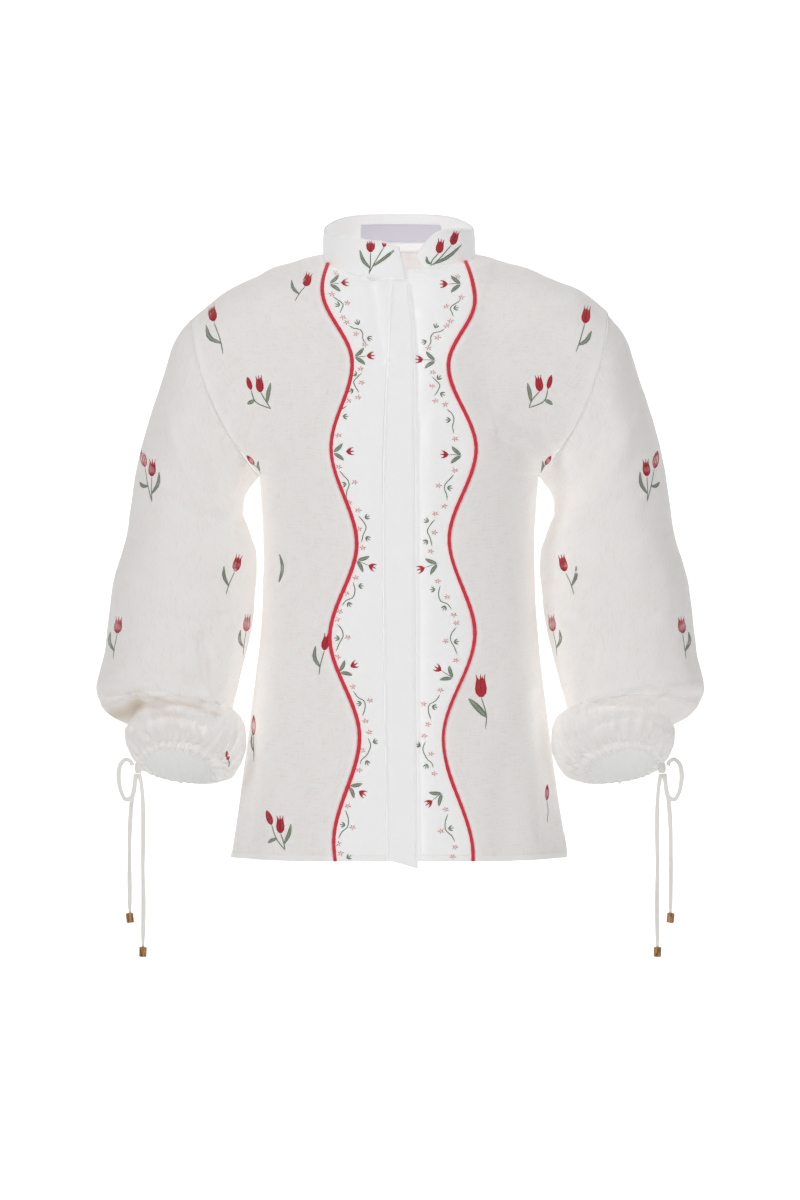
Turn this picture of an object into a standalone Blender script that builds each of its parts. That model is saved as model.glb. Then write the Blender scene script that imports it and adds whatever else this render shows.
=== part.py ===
"""A long-sleeved blouse with a stand collar, filled out as if worn.

Frame: +X is the viewer's right, the front faces -Y, +Z is up. The origin is the centre of the
neck at the height of the shoulder points. All sizes below are millimetres. Lengths called "out"
are measured sideways from the centre plane, so that both halves read the same tables.
"""
import math

import bpy
import numpy as np

MM = 0.001
WALL = 1.4
GAP = 0.3
RIM_ORDER = (0.37, 0.61, 0.7)
RIGHT, LEFT = -1, 1
FRONT, BACK = -1, 1

HEM_Z = {FRONT: -631.0, BACK: -628.0}
HEM_SIDE_Z = -636.0
UNDERARM_Z = -238.0
# The side seam ends higher at the hem on the wearer's left.
CORNER_RISE = {RIGHT: 0.0, LEFT: 19.0}
CORNER_FROM = 0.88

# The torso below the underarm, level by level.
TORSO = dict(
    z=(-636, -590, -536, -464, -367, -300, -238),
    width=(176, 168.5, 161, 152, 143, 142.3, 146),
    front=(140, 137, 133, 127, 121, 123, 127),
    back=(134, 130, 124, 115, 105, 102, 104),
)
# The centre front and centre back above the underarm, up to the neck seam.
FRONT_CENTRE = {
    RIGHT: dict(z=(-238, -190, -140, -90, -38), y=(127, 124, 112, 93, 69)),
    LEFT: dict(z=(-238, -190, -140, -90, -38, -27), y=(127, 124, 112, 93, 69, 66.5)),
}
BACK_CENTRE = dict(z=(-238, -180, -110, -50, 4.5), y=(104, 107, 103, 87, 60))
ROUNDING = 2.4

# The neck seam, seen from above an ellipse, lowest at the centre front.
NECK_WIDTH, NECK_BACK = 80.0, 60.0
NECK_FRONT = {RIGHT: 69.0, LEFT: 66.5}
NECK_SIDE_Z = -5.0
NECK_DROP = {RIGHT: 33.0, LEFT: 22.0}
NECK_RISE = 9.5

# Rows of the upper body run from the centre or the neck out to the armhole.
LOW_ROWS, ARM_ROWS = 18, 14
FRONT_NECK = {
    RIGHT: dict(row=(9, 10, 11, 12, 13, 14), turn=(0, 17, 34, 51, 67.5, 90)),
    LEFT: dict(row=(9, 10, 11, 12, 13, 14), turn=(0, 18.7, 33, 47, 60, 90)),
}
PIT_ROW = 9
BACK_NECK = dict(row=(10, 11, 12, 13, 14), turn=(180, 158, 136, 113, 90))

# The wavy seam on each side: its distance out from the centre at each height.
WAVE = {
    RIGHT: dict(
        z=(-636, -615, -502, -405, -312, -214, -121, -48, -17),
        out=(63.5, 65.6, 40, 70.2, 42.8, 68.6, 48, 79, 74),
    ),
    LEFT: dict(
        z=(-636, -625, -504, -402, -305, -214, -125, -60, -16),
        out=(74.6, 74.7, 44.5, 77, 50.7, 78, 50.5, 78, 69.3),
    ),
}
PIPING_WIDTH, PIPING_HEIGHT = 3.8, 3.2
PIPING_PROUD = 1.3
PIPING_TURN = 2.2
PIPING_SHORT = 0.5

# The fly covers the buttons; the wearer's left front runs on beneath it.
FLY_SEAM = dict(z=(-636, -143, -107, -60, -38), out=(13, 13.2, 11.2, 7.6, 6))
FLY_EDGE = dict(z=(-636, -500, -163, -102, -38), out=(18.8, 17.5, 15.2, 14.3, 8))
FLY_HEM_RISE, FLY_DIP = 2.0, 7.0
FLY_NECK_TURNS = (-5.7, -0.7, 4.3)
UNDERLAP = 18.0
LAP_DEPTH = 3.9
LAP_EASE = (19.0, 36.0)
BUTTON_RADIUS, BUTTON_THICK = 5.5, 1.3
BUTTON_ROWS = (2, 6, 10, 14, 18, 22, 25)

# The stand collar.
COLLAR_HEIGHT, COLLAR_SIDE_LOSS, COLLAR_SIDE_POWER = 40.0, 10.5, 5
COLLAR_ROWS = 3
RIGHT_END = dict(turn=(-6, 0, 6, 12, 20), height=(34, 37, 39, 40, 40), shift=(5.4, 4, 2, 0.5, 0))
LEFT_END = dict(turn=(18.7, 24, 30, 36), height=(14, 27, 36, 40), shift=(-6, -4, -2, 0))
LABEL_HALF_TURN, LABEL_LOW, LABEL_HIGH, LABEL_THICK, LABEL_EASE = 31.0, 0.25, 0.73, 0.8, 0.4

# Rings of the sleeve from the armhole to the drawn-in opening. Each ring runs through an outer
# and an inner point; y is its centre, depth its half depth, tilt raises its front, bow pushes
# its front and back outward, and back_lift raises its back.
SLEEVE = dict(
    outer_x=(216, 236, 250.5, 265.5, 275.5, 282, 286.5, 299.5, 305, 308, 314.5, 311, 302, 278,
             282, 281.5, 277.5, 271.5, 268, 263),
    outer_z=(-73, -98, -141, -186, -229, -271, -302, -349, -397, -425, -458, -472, -483, -491,
             -504, -515, -524, -531, -534, -537),
    inner_x=(147, 151.5, 158, 162.5, 160.5, 154, 149.5, 149, 152.5, 159, 168, 171.5, 172.5, 172,
             161.5, 159.5, 161, 169, 179, 192),
    inner_z=(-238, -243, -252, -264, -277, -294, -314, -348, -389, -420, -459, -474, -484, -487,
             -494, -508, -525, -539, -545, -547),
    y=(0, 0, -1, -2, -4, -6, -8, -12, -18, -24, -32, -37, -42, -44, -46, -48, -49, -50, -50, -50),
    depth=(78, 78, 77, 76, 75, 74, 74, 75, 76, 76, 76, 75, 72, 54, 59, 61, 59, 54, 48, 40),
    tilt=(0, 0, 0, 0, 0, 0, 0, 2, 4, 6, 9, 12, 15, 27, 25, 27, 30, 34, 36, 30),
    bow=(14, 12, 8, 4, 1, 0, 0, 0, 0, 0, 0, 0, 0, 0, 0, 0, 0, 0, 0, 0),
    gather=(0, 0, 0, 0, 0, 0, 0, 0, 0, 0, 0, 0, 0, 0, 0.5, 0.9, 1.3, 1.9, 2.3, 2.1),
    back_lift=(0, 0, 0, 0, 0, 0, 0, 0, 0, 0, 0, 0, 0, 0, 0, 0.5, 3, 7.5, 9.5, 4.5),
)
FINE_FROM_RING = 14
CASING_RING, END_RING = 18, 19
AROUND = 2 * ARM_ROWS
GATHERS = 28

# How the filled-out form stands off true on each side: the shoulder line is raised by lift at
# these distances out, down to a level where it fades, and the sleeve stands further out.
STANCE = {
    RIGHT: dict(out=(80, 112, 137, 165, 190, 215, 240, 265), lift=(0, -1.8, -0.6, 0.6, 2, 1, 0, 0),
                spread=0.0),
    LEFT: dict(out=(80, 112, 137, 165, 190, 215, 240, 265), lift=(0, -3, 0, 3.6, 9, 7, 3.5, 0),
               spread=2.5),
}
STANCE_FADE = (-250.0, -90.0)
SPREAD_FROM = (150.0, 190.0)

# Soft troughs pressed into the body and sleeves, as (place, width, depth).
BODY_TROUGHS = (
    dict(face=FRONT, side=RIGHT, across=0.73, width=0.09, deep=6.0, top=-440),
    dict(face=FRONT, side=LEFT, across=0.75, width=0.10, deep=6.0, top=-470),
    dict(face=BACK, side=RIGHT, across=0.62, width=0.13, deep=7.0, top=-330),
    dict(face=BACK, side=LEFT, across=0.55, width=0.12, deep=6.0, top=-380),
    dict(face=BACK, side=RIGHT, across=0.18, width=0.11, deep=5.0, top=-420),
    dict(face=BACK, side=LEFT, across=0.90, width=0.08, deep=5.0, top=-450),
)
SLEEVE_TROUGHS = (
    dict(ring=10.4, ring_reach=1.7, turn=124, turn_reach=12, deep=4.5),
    dict(ring=8.0, ring_reach=0.55, turn=85, turn_reach=45, deep=2.0),
    dict(ring=10.6, ring_reach=1.5, turn=250, turn_reach=14, deep=4.5),
    dict(ring=8.6, ring_reach=0.6, turn=290, turn_reach=40, deep=3.0),
    dict(ring=4.8, ring_reach=0.8, turn=185, turn_reach=30, deep=3.0),
)

# The drawstrings hang from a knot at the outer end of each casing. Routes are (out, y, z).
TAPE_WIDTH, TAPE_THICK = 4.8, 1.2
KNOT_AT, KNOT_SIZE = (269.3, -52.0, -541.0), (4.6, 4.0, 6.2)
LOOP_ROUTE = (
    (275.4, -53.5, -538.5), (277.5, -54, -534), (281.5, -54.5, -532), (286.5, -55, -535.5),
    (289.3, -55.5, -545), (289, -55.5, -556), (286.5, -55.5, -566.5), (281.8, -55.5, -573.5),
    (276.8, -55.2, -572), (273.8, -54.6, -564), (272.9, -54.2, -556), (272.4, -53.9, -547.4),
)
SHORT_ROUTE = (
    (271.4, -50, -547), (273, -50, -556), (276, -50, -573), (278.2, -50, -600),
    (278.8, -50, -640), (278.6, -50, -668), (278.4, -50, -691),
)
LONG_ROUTE = (
    (268.6, -51.5, -547.2), (266.6, -51.5, -557), (264.8, -51.5, -577), (264.4, -51.5, -608),
    (264.8, -51.5, -645), (264.2, -51.5, -680), (264.8, -51.5, -726),
)
BEAD_RADIUS, BEAD_HEIGHT = 3.9, 10.0


def smooth(stations, values, at):
    """Reads a smooth curve through values given at rising stations."""
    stations = np.asarray(stations, float)
    values = np.asarray(values, float)
    slopes = np.gradient(values, stations)
    at = np.clip(np.asarray(at, float), stations[0], stations[-1])
    i = np.clip(np.searchsorted(stations, at, side="right") - 1, 0, len(stations) - 2)
    step = stations[i + 1] - stations[i]
    t = (at - stations[i]) / step
    return (
        (2 * t**3 - 3 * t**2 + 1) * values[i]
        + (t**3 - 2 * t**2 + t) * step * slopes[i]
        + (3 * t**2 - 2 * t**3) * values[i + 1]
        + (t**3 - t**2) * step * slopes[i + 1]
    )


def ramp(start, end, at):
    """0 at start, 1 at end, eased at both ends."""
    t = np.clip((np.asarray(at, float) - start) / (end - start), 0, 1)
    return t * t * (3 - 2 * t)


def unit(vectors):
    return vectors / np.maximum(np.linalg.norm(vectors, axis=-1, keepdims=True), 1e-9)


def settle(points):
    """Gives finished points, in place on both sides, the stance of each side."""
    moved = points.copy()
    for side, stance in STANCE.items():
        out = side * points[:, 0]
        lift = smooth(stance["out"], stance["lift"], out) * ramp(*STANCE_FADE, points[:, 2])
        mine = out > 0
        moved[mine, 2] += lift[mine]
        moved[mine, 0] += side * (stance["spread"] * ramp(*SPREAD_FROM, out))[mine]
    return moved


def neck_seam(side, turn):
    """A point of the neck seam; turn is 0 at the centre front and 180 at the centre back."""
    a = np.radians(turn)
    c = np.cos(a)
    y = np.where(c > 0, -NECK_FRONT[side] * c, -NECK_BACK * c)
    z = NECK_SIDE_Z - np.where(c > 0, NECK_DROP[side], NECK_RISE) * c
    return np.stack([NECK_WIDTH * np.sin(a), y, z], -1)


def sleeve_ring(ring, turn):
    """A point of the sleeve; turn is 0 on its outer line, 90 in front and 180 at the underarm."""
    rings = np.arange(len(SLEEVE["y"]))
    at = {name: smooth(rings, column, ring) for name, column in SLEEVE.items()}
    a, tilt = np.radians(turn), np.radians(at["tilt"])
    half_x = (at["outer_x"] - at["inner_x"]) / 2
    half_z = (at["outer_z"] - at["inner_z"]) / 2
    half = np.hypot(half_x, half_z)
    push = at["bow"] * np.sin(a) ** 2
    x = (at["outer_x"] + at["inner_x"]) / 2 + half_x * np.cos(a) + push * half_z / half
    z = (at["outer_z"] + at["inner_z"]) / 2 + half_z * np.cos(a) - push * half_x / half
    y = at["y"] - at["depth"] * np.cos(tilt) * np.sin(a)
    z = z + at["depth"] * np.sin(tilt) * np.sin(a) + at["back_lift"] * np.minimum(np.sin(a), 0) ** 2
    point = np.stack([x, y, z], -1)
    away = unit(np.stack([x - (at["outer_x"] + at["inner_x"]) / 2, y - at["y"], 0 * z], -1))
    swell = at["gather"] * np.cos(GATHERS * a)
    for trough in SLEEVE_TROUGHS:
        apart = (np.asarray(turn) - trough["turn"] + 180) % 360 - 180
        across = np.exp(-((apart / trough["turn_reach"]) ** 2))
        along = np.exp(-(((ring - trough["ring"]) / trough["ring_reach"]) ** 2))
        swell = swell - trough["deep"] * across * along
    return point + away * np.asarray(swell)[..., None]


def row_start(side, face, row):
    """Where a row of the upper body starts: the centre line, then the neck seam."""
    neck = FRONT_NECK[side] if face == FRONT else BACK_NECK
    centre = FRONT_CENTRE[side] if face == FRONT else BACK_CENTRE
    first = neck["row"][0]
    z = UNDERARM_Z + (centre["z"][-1] - UNDERARM_Z) * np.minimum(row / first, 1)
    line = np.stack([np.zeros_like(z), face * smooth(centre["z"], centre["y"], z), z], -1)
    seam = neck_seam(side, np.interp(row, neck["row"], neck["turn"]))
    return np.where((row > first)[..., None], seam, line)


def body_point(side, face, row, across):
    """A point of the body, out being positive.

    Rows run from -LOW_ROWS at the hem through 0 at the underarm to ARM_ROWS at the shoulder;
    across is 0 at the centre or the neck and 1 at the side seam or the armhole.
    """
    row, across = np.broadcast_arrays(np.asarray(row, float), np.asarray(across, float))
    low = row < 0
    hem = HEM_Z[face] + (HEM_SIDE_Z - HEM_Z[face]) * across**2
    hem = hem + CORNER_RISE[side] * ramp(CORNER_FROM, 1, across)
    z = np.where(low, UNDERARM_Z + (UNDERARM_Z - hem) * row / LOW_ROWS, UNDERARM_Z)
    upper = np.maximum(row, 0)
    column = "front" if face == FRONT else "back"
    depth = smooth(TORSO["z"], TORSO[column], z)
    start = row_start(side, face, upper)
    end = sleeve_ring(0.0, 180 - 180 * upper / ARM_ROWS)
    end = np.stack([end[..., 0], -face * end[..., 1], end[..., 2]], -1)
    start = np.where(low[..., None], np.stack([0 * z, face * depth, z], -1), start)
    side_line = np.stack([smooth(TORSO["z"], TORSO["width"], z), 0 * z, z], -1)
    end = np.where(low[..., None], side_line, end)
    climb = ramp(0, 0.45 * ARM_ROWS, upper)
    sign = np.sign(across)
    s = np.abs(across)
    fraction = climb * s + (1 - climb) * np.sin(np.pi / 2 * np.minimum(s, 1))
    power = 1 / ROUNDING + (1 - 1 / ROUNDING) * climb
    bulge = np.maximum(1 - fraction**ROUNDING, 0) ** power
    x = start[..., 0] + (end[..., 0] - start[..., 0]) * fraction * sign
    y = end[..., 1] + (start[..., 1] - end[..., 1]) * bulge
    z = start[..., 2] + (end[..., 2] - start[..., 2]) * fraction**1.7
    push = 0 * x
    for trough in BODY_TROUGHS:
        if (trough["face"], trough["side"]) == (face, side):
            reach = np.exp(-(((across - trough["across"]) / trough["width"]) ** 2))
            push = push + trough["deep"] * reach * ramp(trough["top"], HEM_SIDE_Z, z)
    inward = unit(np.stack([x, y, 0 * x], -1))
    if face == FRONT and side == LEFT:
        y = y + LAP_DEPTH * (1 - ramp(LAP_EASE[0], LAP_EASE[1], x))
    return np.stack([x, y, z], -1) - inward * push[..., None]


def across_at(side, row, out):
    """Solves how far across a row of the front lies a given distance out."""
    low, high = -0.3, 1.0
    for _ in range(40):
        middle = (low + high) / 2
        point = body_point(side, FRONT, row, middle)
        if point[0] < (out(point[2]) if callable(out) else out):
            low = middle
        else:
            high = middle
    return middle


def wave_out(side, shift=0.0):
    """The wavy seam as a function of height, moved sideways square to its own line."""
    wave = WAVE[side]

    def out(z):
        slope = (smooth(wave["z"], wave["out"], z + 2) - smooth(wave["z"], wave["out"], z - 2)) / 4
        return smooth(wave["z"], wave["out"], z) + shift * math.hypot(1, slope)

    return out


def fly_edge_out(z):
    return -smooth(FLY_EDGE["z"], FLY_EDGE["out"], z)


def fly_seam_out(z):
    return smooth(FLY_SEAM["z"], FLY_SEAM["out"], z)


class Sheet:
    """The outer face of one cut piece: points, faces and the normals of its cloth."""

    def __init__(self):
        self.points, self.faces = [], []
        self.normals = None

    def add(self, points):
        first = len(self.points)
        self.points.extend(np.asarray(points, float).reshape(-1, 3))
        return list(range(first, len(self.points)))

    def bridge(self, lower, upper, closed=False):
        """Faces between two rows of points of the same length, or with twice as many above."""
        twice = len(upper) > len(lower)
        count = len(lower) if closed else len(lower) - 1
        for i in range(count):
            j = (i + 1) % len(lower)
            if twice:
                k, n = 2 * i, len(upper)
                self.faces += [(lower[i], upper[k + 1], upper[k]), (lower[i], lower[j], upper[k + 1]),
                               (lower[j], upper[(k + 2) % n], upper[k + 1])]
            else:
                self.faces.append((lower[i], lower[j], upper[j], upper[i]))

    def fan(self, row, apex):
        self.faces += [(row[i], row[i + 1], apex) for i in range(len(row) - 1)]

    def finish(self, outward):
        """Turns the faces outward at a known place and works out the normals."""
        self.points = np.array(self.points)
        self.measure()
        index, direction = outward
        if self.normals[index] @ np.array(direction, float) < 0:
            self.faces = [tuple(reversed(face)) for face in self.faces]
            self.normals = -self.normals
        return self

    def measure(self):
        self.normals = np.zeros_like(self.points)
        for face in self.faces:
            p = self.points[list(face)]
            normal = np.cross(p[2] - p[0], p[-1] - p[1]) if len(face) == 4 else np.cross(
                p[1] - p[0], p[2] - p[0])
            for i in face:
                self.normals[i] += normal
        self.normals = unit(self.normals)

    def mirrored(self, side):
        """The sheet on its own side of the body: the wearer's right lies at -X."""
        if side == RIGHT:
            self.points[:, 0] *= -1
            self.normals[:, 0] *= -1
            self.faces = [tuple(reversed(face)) for face in self.faces]
        return self


def join_seam(pairs):
    """Gives two sheets one closed seam: a shared normal, and half the gap back on each side."""
    (first, first_ids), (second, second_ids) = pairs
    seam = first.points[first_ids]
    normal = unit(first.normals[first_ids] + second.normals[second_ids])
    run = unit(np.roll(seam, -1, 0) - np.roll(seam, 1, 0))
    square = unit(np.cross(run, normal))
    toward = first.points.mean(0) - seam.mean(0)
    if (square @ toward).mean() < 0:
        square = -square
    first.points[first_ids] = seam + square * GAP / 2
    second.points[second_ids] = seam - square * GAP / 2
    first.normals[first_ids] = normal
    second.normals[second_ids] = normal


def part_in_plane(sheet, ids, axis, away):
    """Draws an edge half a gap back from a flat seam plane and squares its normals to it."""
    sheet.points[ids, axis] += away * GAP / 2
    sheet.normals[ids, axis] = 0
    sheet.normals[ids] = unit(sheet.normals[ids])


def new_material(name, colour, roughness, metallic=0.0):
    material = bpy.data.materials.new(name)
    material.use_nodes = True
    shader = material.node_tree.nodes["Principled BSDF"]
    shader.inputs["Base Color"].default_value = (*colour, 1)
    shader.inputs["Roughness"].default_value = roughness
    shader.inputs["Metallic"].default_value = metallic
    return material


def new_object(name, points, faces, material, smooth_faces=True):
    mesh = bpy.data.meshes.new(name)
    points = settle(np.asarray(points, float)) * MM
    mesh.from_pydata(points.tolist(), [], [list(face) for face in faces])
    mesh.materials.append(material)
    if smooth_faces:
        mesh.shade_smooth()
    mesh.update()
    obj = bpy.data.objects.new(name, mesh)
    bpy.context.scene.collection.objects.link(obj)
    return obj


def sew(name, sheet, material, wall=WALL, lift=0.0):
    """Makes a closed cloth wall: the sheet outside, its offset inside, and rims between."""
    count = len(sheet.points)
    outer = sheet.points + sheet.normals * lift
    points = np.concatenate([outer, outer - sheet.normals * wall])
    faces = list(sheet.faces)
    faces += [tuple(i + count for i in reversed(face)) for face in sheet.faces]
    used = set()
    for face in sheet.faces:
        used.update(zip(face, face[1:] + face[:1]))
    # Both rims of a seam take the same diagonals, so that they stay parted where the seam twists.
    order = np.abs(outer) @ RIM_ORDER
    for a, b in sorted(used):
        if (b, a) in used:
            continue
        if order[a] > order[b]:
            faces += [(b, a, b + count), (a, a + count, b + count)]
        else:
            faces += [(b, a, a + count), (b, a + count, b + count)]
    return new_object(name, points, faces, material)


def front_side(side):
    """The sheer outer front, from the wavy seam to the armhole and side seam."""
    columns = 6
    sheet = Sheet()
    rows = []
    for row in range(-LOW_ROWS, ARM_ROWS + 1):
        if row < ARM_ROWS - 1:
            start = across_at(side, row, wave_out(side, PIPING_WIDTH / 2 + GAP))
        elif row == ARM_ROWS - 1:
            start = 0.018
        else:
            start = 0.0
        across = np.linspace(start, 1, columns + 1)
        rows.append(sheet.add(body_point(side, FRONT, row, across)))
    for lower, upper in zip(rows, rows[1:]):
        sheet.bridge(lower, upper)
    sheet.finish((rows[4][2], (0, -1, 0))).mirrored(side)
    sheet.armhole = [row[-1] for row in rows[LOW_ROWS:]]
    sheet.side_seam = [row[-1] for row in rows[: LOW_ROWS + 1]]
    sheet.shoulder = rows[-1]
    sheet.neck = [rows[-2][0], rows[-1][0]]
    sheet.wave = [row[0] for row in rows[:-2]]
    return sheet


def front_centre(side):
    """The opaque centre front, from the fly seam or the underlap's edge to the wavy seam."""
    columns = 4 if side == RIGHT else 5
    inner = fly_seam_out if side == RIGHT else -UNDERLAP
    sheet = Sheet()
    rows = []
    for row in range(-LOW_ROWS, ARM_ROWS - 1):
        end = across_at(side, row, wave_out(side, -PIPING_WIDTH / 2 - GAP))
        start = across_at(side, row, inner) if row <= PIT_ROW else 0.0
        rows.append(sheet.add(body_point(side, FRONT, row, np.linspace(start, end, columns + 1))))
    for lower, upper in zip(rows, rows[1:]):
        sheet.bridge(lower, upper)
    sheet.tip = sheet.add(neck_seam(side, FRONT_NECK[side]["turn"][-2] - PIPING_TURN))[0]
    sheet.fan(rows[-1], sheet.tip)
    sheet.neck = [row[0] for row in rows[LOW_ROWS + PIT_ROW:]]
    sheet.centre = [row[0] for row in rows[: LOW_ROWS + PIT_ROW + 1]]
    sheet.wave = [row[-1] for row in rows]
    sheet.rows = rows
    return sheet.finish((rows[4][2], (0, -1, 0))).mirrored(side)


def back_panel():
    """The back, one piece, notched at the neck."""
    columns = 8
    sheet = Sheet()
    first = BACK_NECK["row"][0]
    low = list(range(-LOW_ROWS, 0, 2)) + [0]
    halves = {}
    for side in (RIGHT, LEFT):
        halves[side] = []
        for row in low + list(range(1, ARM_ROWS + 1)):
            points = body_point(side, BACK, row, np.linspace(0, 1, columns + 1))
            points[:, 0] *= side
            if side == LEFT and row <= first:
                shared = halves[RIGHT][len(halves[LEFT])][0]
                halves[side].append([shared] + sheet.add(points[1:]))
            else:
                halves[side].append(sheet.add(points))
    for side in (RIGHT, LEFT):
        for lower, upper in zip(halves[side], halves[side][1:]):
            if side == RIGHT:
                sheet.bridge(lower, upper)
            else:
                sheet.bridge(lower[::-1], upper[::-1])
    sheet.finish((halves[RIGHT][3][2], (0, 1, 0)))
    start = len(low) - 1
    sheet.armhole = {side: [row[-1] for row in halves[side][start:]] for side in halves}
    sheet.side_seam = {side: [row[-1] for row in halves[side][: start + 1]] for side in halves}
    sheet.shoulder = {side: halves[side][-1] for side in halves}
    sheet.neck = {side: [row[0] for row in halves[side][start + first:]] for side in halves}
    return sheet


def fly_strip():
    """The strip over the buttons, from the fly seam past the centre to its free edge."""
    columns = 2
    sheet = Sheet()
    rows = []
    for row in range(-LOW_ROWS, PIT_ROW + 1):
        start = across_at(RIGHT, row, fly_edge_out)
        end = across_at(RIGHT, row, fly_seam_out)
        points = body_point(RIGHT, FRONT, row, np.linspace(start, end, columns + 1))
        if row == -LOW_ROWS:
            points[:, 2] += np.linspace(-FLY_DIP, FLY_HEM_RISE, columns + 1)
        rows.append(sheet.add(points))
    for lower, upper in zip(rows, rows[1:]):
        sheet.bridge(lower, upper)
    sheet.neck = rows[-1]
    sheet.centre = [row[-1] for row in rows]
    return sheet.finish((rows[4][1], (0, -1, 0))).mirrored(RIGHT)


def sleeve(side):
    """The sleeve from the armhole to its casing: coarse above, twice as fine at the gathers."""
    sheet = Sheet()
    rows = []
    for ring in range(CASING_RING + 1):
        count = AROUND if ring < FINE_FROM_RING else 2 * AROUND
        turns = np.arange(count) * 360 / count
        rows.append(sheet.add(sleeve_ring(float(ring), turns)))
    for lower, upper in zip(rows, rows[1:]):
        sheet.bridge(lower, upper, closed=True)
    sheet.finish((rows[5][0], (1, 0, 0))).mirrored(side)
    sheet.armhole = rows[0]
    sheet.cuff = rows[-1]
    return sheet


def casing(side):
    """The casing that the drawstring gathers."""
    sheet = Sheet()
    turns = np.arange(2 * AROUND) * 180 / AROUND
    rings = (CASING_RING, (CASING_RING + END_RING) / 2, END_RING)
    rows = [sheet.add(sleeve_ring(ring, turns)) for ring in rings]
    for lower, upper in zip(rows, rows[1:]):
        sheet.bridge(lower, upper, closed=True)
    sheet.finish((rows[0][0], (1, 0, 0))).mirrored(side)
    sheet.cuff = rows[0]
    return sheet


def close_armhole(sleeve_sheet, front, back, side):
    """Sets the sleeve's first ring against the front and back armholes."""
    ring = sleeve_sheet.armhole
    half = AROUND // 2
    forward = ring[: half + 1][::-1]
    backward = [ring[0]] + ring[:half - 1:-1]
    backward = backward[::-1]
    normals = {}
    shifts = {}
    panels = ((front, front.armhole, forward), (back, back.armhole[side], backward))
    for i in (0, -1):
        shared = sleeve_sheet.normals[forward[i]] + sum(sheet.normals[ids[i]] for sheet, ids, _ in panels)
        for sheet, ids, path in panels:
            sheet.normals[ids[i]] = sleeve_sheet.normals[path[i]] = unit(shared * (1, 0, 1))
    for sheet, ids, path in panels:
        seam = sheet.points[ids]
        normal = unit(sheet.normals[ids] + sleeve_sheet.normals[path])
        run = unit(np.gradient(seam, axis=0))
        run[[0, -1]] = (0, 1, 0)
        square = unit(np.cross(run, normal))
        inward = np.sign((square * ([0, 0, -150] - seam)).sum(-1, keepdims=True))
        square = square * np.where(inward == 0, 1, inward)
        sheet.points[ids] = seam + square * GAP / 2
        sheet.normals[ids] = normal
        for i, n, s in zip(path, normal, square):
            normals.setdefault(i, []).append(n)
            shifts.setdefault(i, []).append(s)
    for i in normals:
        sleeve_sheet.normals[i] = unit(np.mean(normals[i], 0))
        sleeve_sheet.points[i] -= unit(np.mean(shifts[i], 0)) * GAP / 2


def collar_top(side, turn, bottom):
    """The top of the band above a point of the neck seam."""
    ends = RIGHT_END if side == RIGHT else LEFT_END
    height = smooth(ends["turn"], ends["height"], turn) if turn < ends["turn"][-1] else COLLAR_HEIGHT
    shift = smooth(ends["turn"], ends["shift"], turn) if turn < ends["turn"][-1] else 0.0
    height = height - COLLAR_SIDE_LOSS * math.sin(math.radians(turn)) ** COLLAR_SIDE_POWER
    top = neck_seam(side, turn + shift) * (0.98, 0.92, 1)
    top[0] *= side
    top[2] = bottom[2] + height
    return top


def collar_band(seam):
    """The stand band, its foot on the points of the neck seam, with a column between each two.

    seam lists (side, turn, point, normal) from the wearer's right end round the back.
    """
    sheet = Sheet()
    columns, turns = [], []
    for (side, turn, point, _), (next_side, next_turn, next_point, _) in zip(seam, seam[1:]):
        columns.append((side, turn, point))
        columns.append((next_side, (turn + next_turn) / 2, (point + next_point) / 2))
    columns.append(seam[-1][:3])
    rows = [[] for _ in range(COLLAR_ROWS + 1)]
    for side, turn, foot in columns:
        top = collar_top(side, turn, foot)
        for i in range(COLLAR_ROWS + 1):
            rows[i].append(foot + (top - foot) * i / COLLAR_ROWS)
        turns.append(turn)
    rows = [sheet.add(row) for row in rows]
    for lower, upper in zip(rows, rows[1:]):
        sheet.bridge(lower, upper)
    sheet.finish((rows[1][len(rows[1]) // 2], (0, 1, 0)))
    sheet.neck, sheet.rows, sheet.turns = rows[0], rows, turns
    return sheet


def close_neck(collar, seam):
    """Parts the collar from the panels below it, and mitres the shared seam."""
    run = unit(np.gradient(np.array([item[2] for item in seam]), axis=0))
    stations = collar.neck[::2]
    normals, feet = [], []
    for i, (_, turn, point, panels) in enumerate(seam):
        normal = collar.normals[stations[i]] + sum(sheet.normals[j] for sheet, j in panels)
        normal = unit(normal * (1, 0, 1) if turn == 90 else normal)
        up = unit(np.cross(run[i], normal))
        up = up if up[2] > 0 else -up
        for sheet, j in panels:
            sheet.points[j] = point - up * GAP / 2
            sheet.normals[j] = normal
        normals.append(normal)
        feet.append(point + up * GAP / 2)
    normals, feet = np.array(normals), np.array(feet)
    collar.points[stations], collar.normals[stations] = feet, normals
    between = collar.neck[1::2]
    collar.points[between] = (feet[1:] + feet[:-1]) / 2
    collar.normals[between] = unit(normals[1:] + normals[:-1])


def neck_step(front, centre):
    """How far along the neck seam the piping's middle lies from the side front's corner."""
    corner = front.points[front.neck[0]]
    along = unit(centre.points[centre.neck[-1]] - corner)
    run = unit((front.points[front.wave[-1]] + centre.points[centre.wave[-1]]) / 2 - corner)
    return along * (PIPING_WIDTH / 2 + GAP) / np.linalg.norm(np.cross(along, run))


def close_tip(front, centre):
    """Sets the last corner of the centre front on the neck seam, just clear of the piping."""
    corner = front.neck[0]
    centre.points[centre.tip] = front.points[corner] + 2 * neck_step(front, centre)
    centre.normals[centre.tip] = unit(front.normals[corner] + centre.normals[centre.neck[-1]])


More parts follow.
